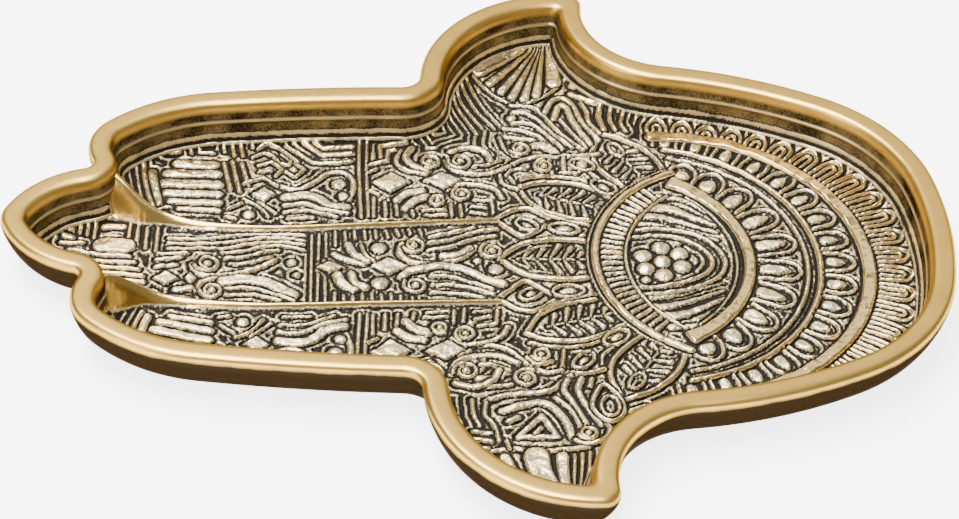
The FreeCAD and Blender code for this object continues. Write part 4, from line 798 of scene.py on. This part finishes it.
def ridge_height(side):
    """Height of one ridge, and a mask that clears the carving along it."""
    middle = drift(grid_x) + side * along_ridge(grid_x, 1)
    crest = along_ridge(grid_x, 3) * (grid_x < RIDGE_END)
    foot = along_ridge(grid_x, 4) / 2
    slant = np.hypot(1, np.gradient(middle[:, 0], xs))[:, None]
    away = np.abs(grid_y - middle) / slant / foot
    flank = np.clip(1 - away, 0, 1)
    broad = np.clip((crest - 2.2) / 2.5, 0, 1)
    rise = crest * (broad * flank**2 * (3 - 2 * flank) + (1 - broad) * flank**0.75)
    clear = np.clip((away * foot - np.maximum(0.8 * foot, 1.2)) / 1.2, 0, 1)
    return rise, np.where(grid_x < RIDGE_END, clear, 1)


relief = np.maximum(relief, echo_lines())
relief *= np.clip((inset - 9.9) / 0.4, 0, 1)
relief = np.maximum(relief, wall_lines())
near_wall = np.clip((24 - inset) / 12, 0, 1)
rubbed = np.where(inset < WALL_LINES_END, 0.8, np.maximum(rubbed, 0.5 * near_wall))

chance = np.random.default_rng(7)
coarse = grain(0.9)
fine = grain(0.34)
fine = fine + 0.55 * chance.standard_normal(grid_x.shape)
relief *= 1 + 0.10 * np.clip(coarse, -2, 2)

ridge = np.zeros(grid_x.shape)
for side in (1, -1):
    rise, clear = ridge_height(side)
    relief = relief * clear
    ridge = np.maximum(ridge, rise)

cove = np.clip((COVE_START - inset) / COVE_WIDTH, 0, 1.15)
ground = FLOOR + COVE_RISE * cove**2.2
merge = np.minimum(ridge, 1.6)
ground = (ground + FLOOR + ridge + np.sqrt((ground - FLOOR - ridge) ** 2 + merge**2)) / 2

gold_share = np.clip(np.maximum(ridge * 1.6 - 0.9, rubbed), 0, 1)
crest_share = np.clip((relief + np.minimum(ridge, 1.6)) / 1.35, 0, 1)
pit_share = np.clip((blurred(relief + ridge, 0.8) - relief - ridge) / 0.8, 0, 1)
HIGHEST_FLOOR = 16.6
height = ground + relief + 0.09 * (1 - gold_share) * np.clip(fine, -2.5, 2.5)
height = np.minimum(height, HIGHEST_FLOOR)

slope_x, slope_y = np.gradient(height, CELL)
grid_normals = np.stack([-slope_x, -slope_y, np.ones_like(slope_x)], -1)
grid_normals /= np.linalg.norm(grid_normals, axis=-1, keepdims=True)


# meshes


def make_piece(name, points, faces, normals=None, marks=None):
    """A smooth piece from points in millimetres. Its finish reads the marks, which are values per point."""
    mesh = bpy.data.meshes.new(name)
    mesh.from_pydata((np.asarray(points) / 1000).tolist(), [], faces)
    mesh.update()
    mesh.polygons.foreach_set("use_smooth", [True] * len(mesh.polygons))
    for key, values in (marks or {}).items():
        layer = mesh.attributes.new(key, "FLOAT", "POINT")
        layer.data.foreach_set("value", np.asarray(values, np.float32))
    if normals is not None:
        mesh.normals_split_custom_set_from_vertices(np.asarray(normals).tolist())
    piece = bpy.data.objects.new(name, mesh)
    bpy.context.scene.collection.objects.link(piece)
    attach(piece, "root")
    return piece


# Name, start and end along the hand, and the nodes that the piece stands in for.
FLOOR_PARTS = [
    ("floor_fingertips", -140, -70, ["nail_ribs"]),
    ("floor_fingers", -70, -10,
     ["finger_crossbars", "finger_meanders", "finger_diamonds", "finger_scrolls"]),
    ("floor_thumbs", -10, 38, ["thumb_fans", "thumb_arcs", "leaf_frames", "leaf_veins"]),
    ("floor_eye", 38, 84, ["eye_outline", "lash_line", "lash_ribs", "iris_rings", "pupil_beads"]),
    ("floor_mandala", 84, 140,
     ["inner_petals", "middle_petals", "outer_arches", "double_ring", "thick_ring"]),
]


def make_floor(name, start, end, nodes):
    """The carved floor between two places along the hand."""
    first, last = np.searchsorted(xs, [start, end])
    part = slice(first, last + 1)
    shown = inset[part] > FLOOR_INSET
    keep = shown[:-1, :-1] & shown[1:, :-1] & shown[:-1, 1:] & shown[1:, 1:]
    used = np.zeros(shown.shape, bool)
    for a, b in ((0, 0), (1, 0), (0, 1), (1, 1)):
        used[a: a + keep.shape[0], b: b + keep.shape[1]] |= keep
    number = np.full(shown.shape, -1)
    number[used] = np.arange(used.sum())
    i, j = np.nonzero(keep)
    faces = np.c_[number[i, j], number[i + 1, j], number[i + 1, j + 1], number[i, j + 1]]
    points = np.c_[grid_x[part][used], grid_y[part][used], height[part][used]]
    marks = {"crest": crest_share[part][used], "pit": pit_share[part][used], "gold": gold_share[part][used]}
    piece = make_piece(name, points, faces.tolist(), grid_normals[part][used], marks)
    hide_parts(*nodes)
    return piece


# The rest of the casting is one band swept round the outline: inset and height of its points, from the
# foot over the rim and down the inner wall.
PROFILE = [
    (11, 1.5), (10.2, 1.62), (9.3, 2.05), (8, 3), (6.4, 4.5), (4.9, 6.1), (3.6, 7.8), (2.5, 9.6),
    (1.6, 11.5), (0.9, 13.4), (0.4, 15), (0.08, 16.6), (0, 17.9), (0.12, 18.7), (0.5, 19.35), (1.1, 19.8),
    (1.9, 19.97), (3, 20), (4.3, 19.98), (5.3, 19.88), (6.1, 19.6), (6.75, 19.05), (7.15, 18.2),
    (7.35, 17.2), (7.42, 16), (7.48, 14.6), (7.54, 13.8), (7.92, 13.3), (7.98, 12.9), (7.72, 12.3),
    (7.74, 11.4), (7.9, 10.6), (8.1, 9.2), (8.3, 7.8), (8.6, 5),
]


def band_faces(rows, count):
    """Faces between loops that run clockwise, seen from above, and lie one over the other."""
    faces = []
    for row in range(rows - 1):
        for k in range(count):
            n = (k + 1) % count
            upper, lower = (row + 1) * count, row * count
            faces.append([upper + k, upper + n, lower + n, lower + k])
    return faces


def make_casting():
    """The band, closed by one flat face at the foot."""
    profile = smooth_line(PROFILE, step=0.45)
    loops = [hand_loop(max(inset, 0)) for inset in profile[:, 0]]
    count = len(loops[0])
    heights = np.repeat(np.clip(profile[:, 1], FOOT, TOP), count)
    rows = np.repeat(np.arange(len(loops)), count) / (len(loops) - 1)
    faces = band_faces(len(loops), count) + [list(range(count))]
    casting = make_piece("casting", np.c_[np.vstack(loops), heights], faces, marks={"row": rows})
    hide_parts("tray_casting")
    return casting


PAD_PLACES = [(84, 36.4), (84, -36.4), (-84, 25.2), (-84, -25.2), (22.4, 70), (22.4, -70)]
# Radius and height, from the underside round the edge to the top.
PAD_ROWS = [(5.6, 0.0), (6.6, 0.12), (6.95, 0.5), (7.0, 0.9), (6.9, 1.3), (6.5, 1.48), (5.6, 1.5)]
PAD_SIDES = 72
PAD_RAGGEDNESS = 0.006


def make_pad(index, x, y):
    """A disc of felt with a rounded, slightly ragged edge."""
    points = []
    for radius, z in PAD_ROWS:
        for k in range(PAD_SIDES):
            a = -2 * math.pi * k / PAD_SIDES
            wave = 1 + math.sin(7 * a + index) + 0.6 * math.sin(17 * a + 2 * index)
            ragged = radius * (1 - PAD_RAGGEDNESS * wave * (radius > 6))
            points.append((x + ragged * math.cos(a), y + ragged * math.sin(a), z))
    top = (len(PAD_ROWS) - 1) * PAD_SIDES
    caps = [list(range(PAD_SIDES)), list(range(top, top + PAD_SIDES))[::-1]]
    pad = make_piece(f"felt_pad_{index + 1}", points, band_faces(len(PAD_ROWS), PAD_SIDES) + caps)
    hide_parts("felt_pads")
    return pad


# finishes


class Wire:
    """A socket that can be written in sums."""

    def __init__(self, tree, socket):
        self.tree, self.socket = tree, socket

    def maths(self, how, one, two):
        return self.tree.node("ShaderNodeMath", {"operation": how}, {0: one, 1: two})

    def __add__(self, other):
        return self.maths("ADD", self, other)

    def __sub__(self, other):
        return self.maths("SUBTRACT", self, other)

    def __mul__(self, other):
        return self.maths("MULTIPLY", self, other)

    def __rsub__(self, other):
        return self.maths("SUBTRACT", other, self)

    __radd__ = __add__
    __rmul__ = __mul__


class Finish:
    """One material and the nodes in it."""

    def __init__(self, name):
        self.material = bpy.data.materials.new(name)
        self.material.use_nodes = True
        self.nodes = self.material.node_tree.nodes
        self.links = self.material.node_tree.links
        self.nodes.clear()
        self.place = self.node("ShaderNodeTexCoord", output=3)

    def node(self, kind, settings=None, inputs=None, output=0):
        """A node with its settings, and its inputs as values or wires."""
        made = self.nodes.new(kind)
        for key, value in (settings or {}).items():
            setattr(made, key, value)
        for key, value in (inputs or {}).items():
            if isinstance(value, Wire):
                self.links.new(value.socket, made.inputs[key])
            else:
                made.inputs[key].default_value = value
        return Wire(self, made.outputs[output])

    def mark(self, name):
        return self.node("ShaderNodeAttribute", {"attribute_name": name}, output=2)

    def clamp(self, value, low, high):
        """0 at low, 1 at high and a straight slope between them."""
        limits = {"Value": value, "From Min": low, "From Max": high}
        return self.node("ShaderNodeMapRange", {"clamp": True}, limits)

    def blend(self, factor, one, two):
        settings = {"data_type": "RGBA", "clamp_factor": True}
        one, two = [(*c, 1) if isinstance(c, tuple) else c for c in (one, two)]
        return self.node("ShaderNodeMix", settings, {0: factor, 6: one, 7: two}, 2)

    def noise(self, scale, detail, rough):
        inputs = {"Vector": self.place, "Scale": scale, "Detail": detail, "Roughness": rough}
        return self.node("ShaderNodeTexNoise", {}, inputs)

    def bump(self, height, strength, distance):
        inputs = {"Strength": strength, "Distance": distance, "Height": height}
        return self.node("ShaderNodeBump", {}, inputs)

    def surface(self, fixed, varying):
        """A shader with fixed values and values that change over the surface."""
        shader = self.node("ShaderNodeBsdfPrincipled", {}, {**fixed, **varying})
        end = self.nodes.new("ShaderNodeOutputMaterial")
        self.links.new(shader.socket, end.inputs["Surface"])
        return self.material


def relief_finish():
    """Dark patina in the ground, and brass where hands rubbed the raised parts."""
    f = Finish("rubbed_relief")
    crest, pit, gold = [f.mark(name) for name in ("crest", "pit", "gold")]
    grain = f.noise(1400, 3, 0.7)
    blotch = f.noise(120, 3, 0.6)
    speckle = (grain - 0.5) * 2.5 * (1 - gold) + (blotch - 0.5) * 0.3
    worn = f.clamp(crest + speckle - pit * 0.5, 0.32, 0.80)
    colour = f.blend(worn, (0.008, 0.006, 0.003), (0.95, 0.80, 0.47))
    colour = f.blend(f.clamp(blotch, 0.47, 0.6) * worn * 0.5, colour, (0.74, 0.54, 0.22))
    colour = f.blend(gold * worn, colour, (0.62, 0.41, 0.12))
    varying = {
        "Base Color": colour,
        "Metallic": 0.7 + worn * 0.3,
        "Roughness": 0.58 - worn * 0.36 + (grain - 0.5) * 0.2,
        "Normal": f.bump(grain * (1 - gold) + blotch * 0.4, 0.75, 0.0003),
    }
    return f.surface({}, varying)


def casting_finish():
    """Satin brass, with painted shade on the outer wall below the rim and on the inner wall below the rim's
    edge.

    The mark "row" runs from 0 at the foot to 1 at the bottom of the inner wall, and z is in metres.
    """
    f = Finish("satin_casting")
    z = f.node("ShaderNodeSeparateXYZ", {}, {0: f.place}, 2)
    row = f.mark("row")
    fine = f.noise(2200, 3, 0.7)
    blotch = f.noise(90, 4, 0.6)
    streak = f.clamp(fine + blotch, 0.85, 1.15)
    ledge = f.clamp(z, 0.0122, 0.0128) * f.clamp(z, 0.0139, 0.0133)
    # Painted shade: the outer wall is darkened below the rim, where it turns under the dish into its own
    # shadow.
    outer_painted_shade = f.clamp(row, 0.52, 0.47) * f.clamp(z + (blotch - 0.5) * 0.002, 0.0190, 0.0172)
    # Painted shade: the inner wall is darkened below the rim's edge, with lighter streaks, and the ledge is
    # left out of it so it stays light.
    inside = f.clamp(row, 0.67, 0.70) * f.clamp(z, 0.0186, 0.0170)
    painted_shade = outer_painted_shade + inside * (0.68 + streak * 0.32) * (1 - ledge)
    colour = f.blend(f.clamp(blotch, 0.35, 0.7), (0.66, 0.415, 0.095), (0.59, 0.36, 0.075))
    colour = f.blend(f.clamp(row, 0.67, 0.72), colour, (0.62, 0.48, 0.25))
    # The near-black colour of the painted shade on both walls, which are also made rougher there.
    colour = f.blend(painted_shade, colour, (0.021, 0.015, 0.008))
    varying = {
        "Base Color": colour,
        "Roughness": 0.32 + (blotch - 0.5) * 0.12 + painted_shade * 0.25,
        "Normal": f.bump(fine + blotch * 0.6, 0.3, 0.0002),
    }
    return f.surface({"Metallic": 1.0, "Specular Tint": (0.36, 0.31, 0.25, 1)}, varying)


def felt_finish():
    f = Finish("pressed_felt")
    fluff = f.noise(1600, 4, 0.75)
    cloud = f.noise(260, 2, 0.5)
    colour = f.blend(f.clamp(fluff, 0.3, 0.7), (0.030, 0.024, 0.018), (0.085, 0.070, 0.055))
    colour = f.blend(f.clamp(cloud, 0.4, 0.7) * 0.4, colour, (0.055, 0.045, 0.035))
    varying = {"Base Color": colour, "Normal": f.bump(fluff, 0.7, 0.0004)}
    return f.surface({"Roughness": 0.95, "Sheen Weight": 0.4}, varying)


def paper_finish():
    f = Finish("pale_floor")
    paper = f.noise(30, 2, 0.5)
    colour = f.blend(paper * 0.15, (0.93, 0.93, 0.92), (0.88, 0.88, 0.87))
    fixed = {"Roughness": 0.8, "Emission Color": (1, 1, 1, 1), "Emission Strength": 4.2}
    return f.surface(fixed, {"Base Color": colour})


# studio

# Name, place, size, power and colour.
LAMPS = [
    ("overhead", (-0.25, -0.05, 1.1), (1.1, 0.45), 50, (1.0, 1.0, 1.0)),
    ("back_window", (0.2, 1.5, 1.2), (2.4, 0.9), 12, (1.0, 0.98, 0.95)),
    ("front_left", (-1.2, -0.9, 0.7), (0.5, 0.5), 10, (1.0, 0.99, 0.97)),
]


def hang_lamp(name, place, size, power, colour):
    """A rectangular lamp that faces the hand."""
    light = bpy.data.lights.new(name, "AREA")
    light.shape = "RECTANGLE"
    light.size, light.size_y = size
    light.energy, light.color = power, colour
    holder = bpy.data.objects.new(name, light)
    holder.location = place
    holder.rotation_euler = (-Vector(place)).to_track_quat("-Z", "Y").to_euler()
    bpy.context.scene.collection.objects.link(holder)


def studio():
    """A bright paper floor, faint light from all round and three lamps."""
    bpy.ops.mesh.primitive_plane_add(size=8, location=(0, 0, -0.0002))
    floor = bpy.context.object
    floor.name = "studio_floor"
    floor.data.materials.append(paper_finish())
    world = bpy.data.worlds.new("studio_air")
    world.use_nodes = True
    air = world.node_tree.nodes["Background"].inputs
    air["Color"].default_value = (0.93, 0.95, 1.0, 1)
    air["Strength"].default_value = 0.38
    bpy.context.scene.world = world
    for lamp in LAMPS:
        hang_lamp(*lamp)


# The photo's view, solved from the outline. The middle is about as high as the casting's widest line.
AZIMUTH, ELEVATION, ROLL = math.radians(-3.262), math.radians(41.619), math.radians(2.922)
VIEW_MIDDLE = Vector((-0.000217, -0.013183, 0.0162))
VIEW_DISTANCE = 0.82122
SENSOR_WIDTH = 36
FOCAL_LENGTH = 2822 / 959 * SENSOR_WIDTH


def camera():
    flat = math.cos(ELEVATION)
    back = Vector((math.sin(AZIMUTH) * flat, -math.cos(AZIMUTH) * flat, math.sin(ELEVATION)))
    level = (-back).cross(Vector((0, 0, 1))).normalized()
    rise = level.cross(-back)
    right = math.cos(ROLL) * level + math.sin(ROLL) * rise
    up = -math.sin(ROLL) * level + math.cos(ROLL) * rise
    lens = bpy.data.cameras.new("photo_view")
    lens.sensor_width = SENSOR_WIDTH
    lens.lens = FOCAL_LENGTH
    lens.clip_start, lens.clip_end = 0.01, 50
    eye = bpy.data.objects.new("photo_view", lens)
    turned = Matrix((right, up, back)).transposed().to_4x4()
    eye.matrix_world = Matrix.Translation(VIEW_MIDDLE + back * VIEW_DISTANCE) @ turned
    bpy.context.scene.collection.objects.link(eye)
    bpy.context.scene.camera = eye


relief_metal, casting_metal, felt = relief_finish(), casting_finish(), felt_finish()
for part in FLOOR_PARTS:
    make_floor(*part).data.materials.append(relief_metal)
make_casting().data.materials.append(casting_metal)
for index, (x, y) in enumerate(PAD_PLACES):
    make_pad(index, x, y).data.materials.append(felt)
studio()
camera()
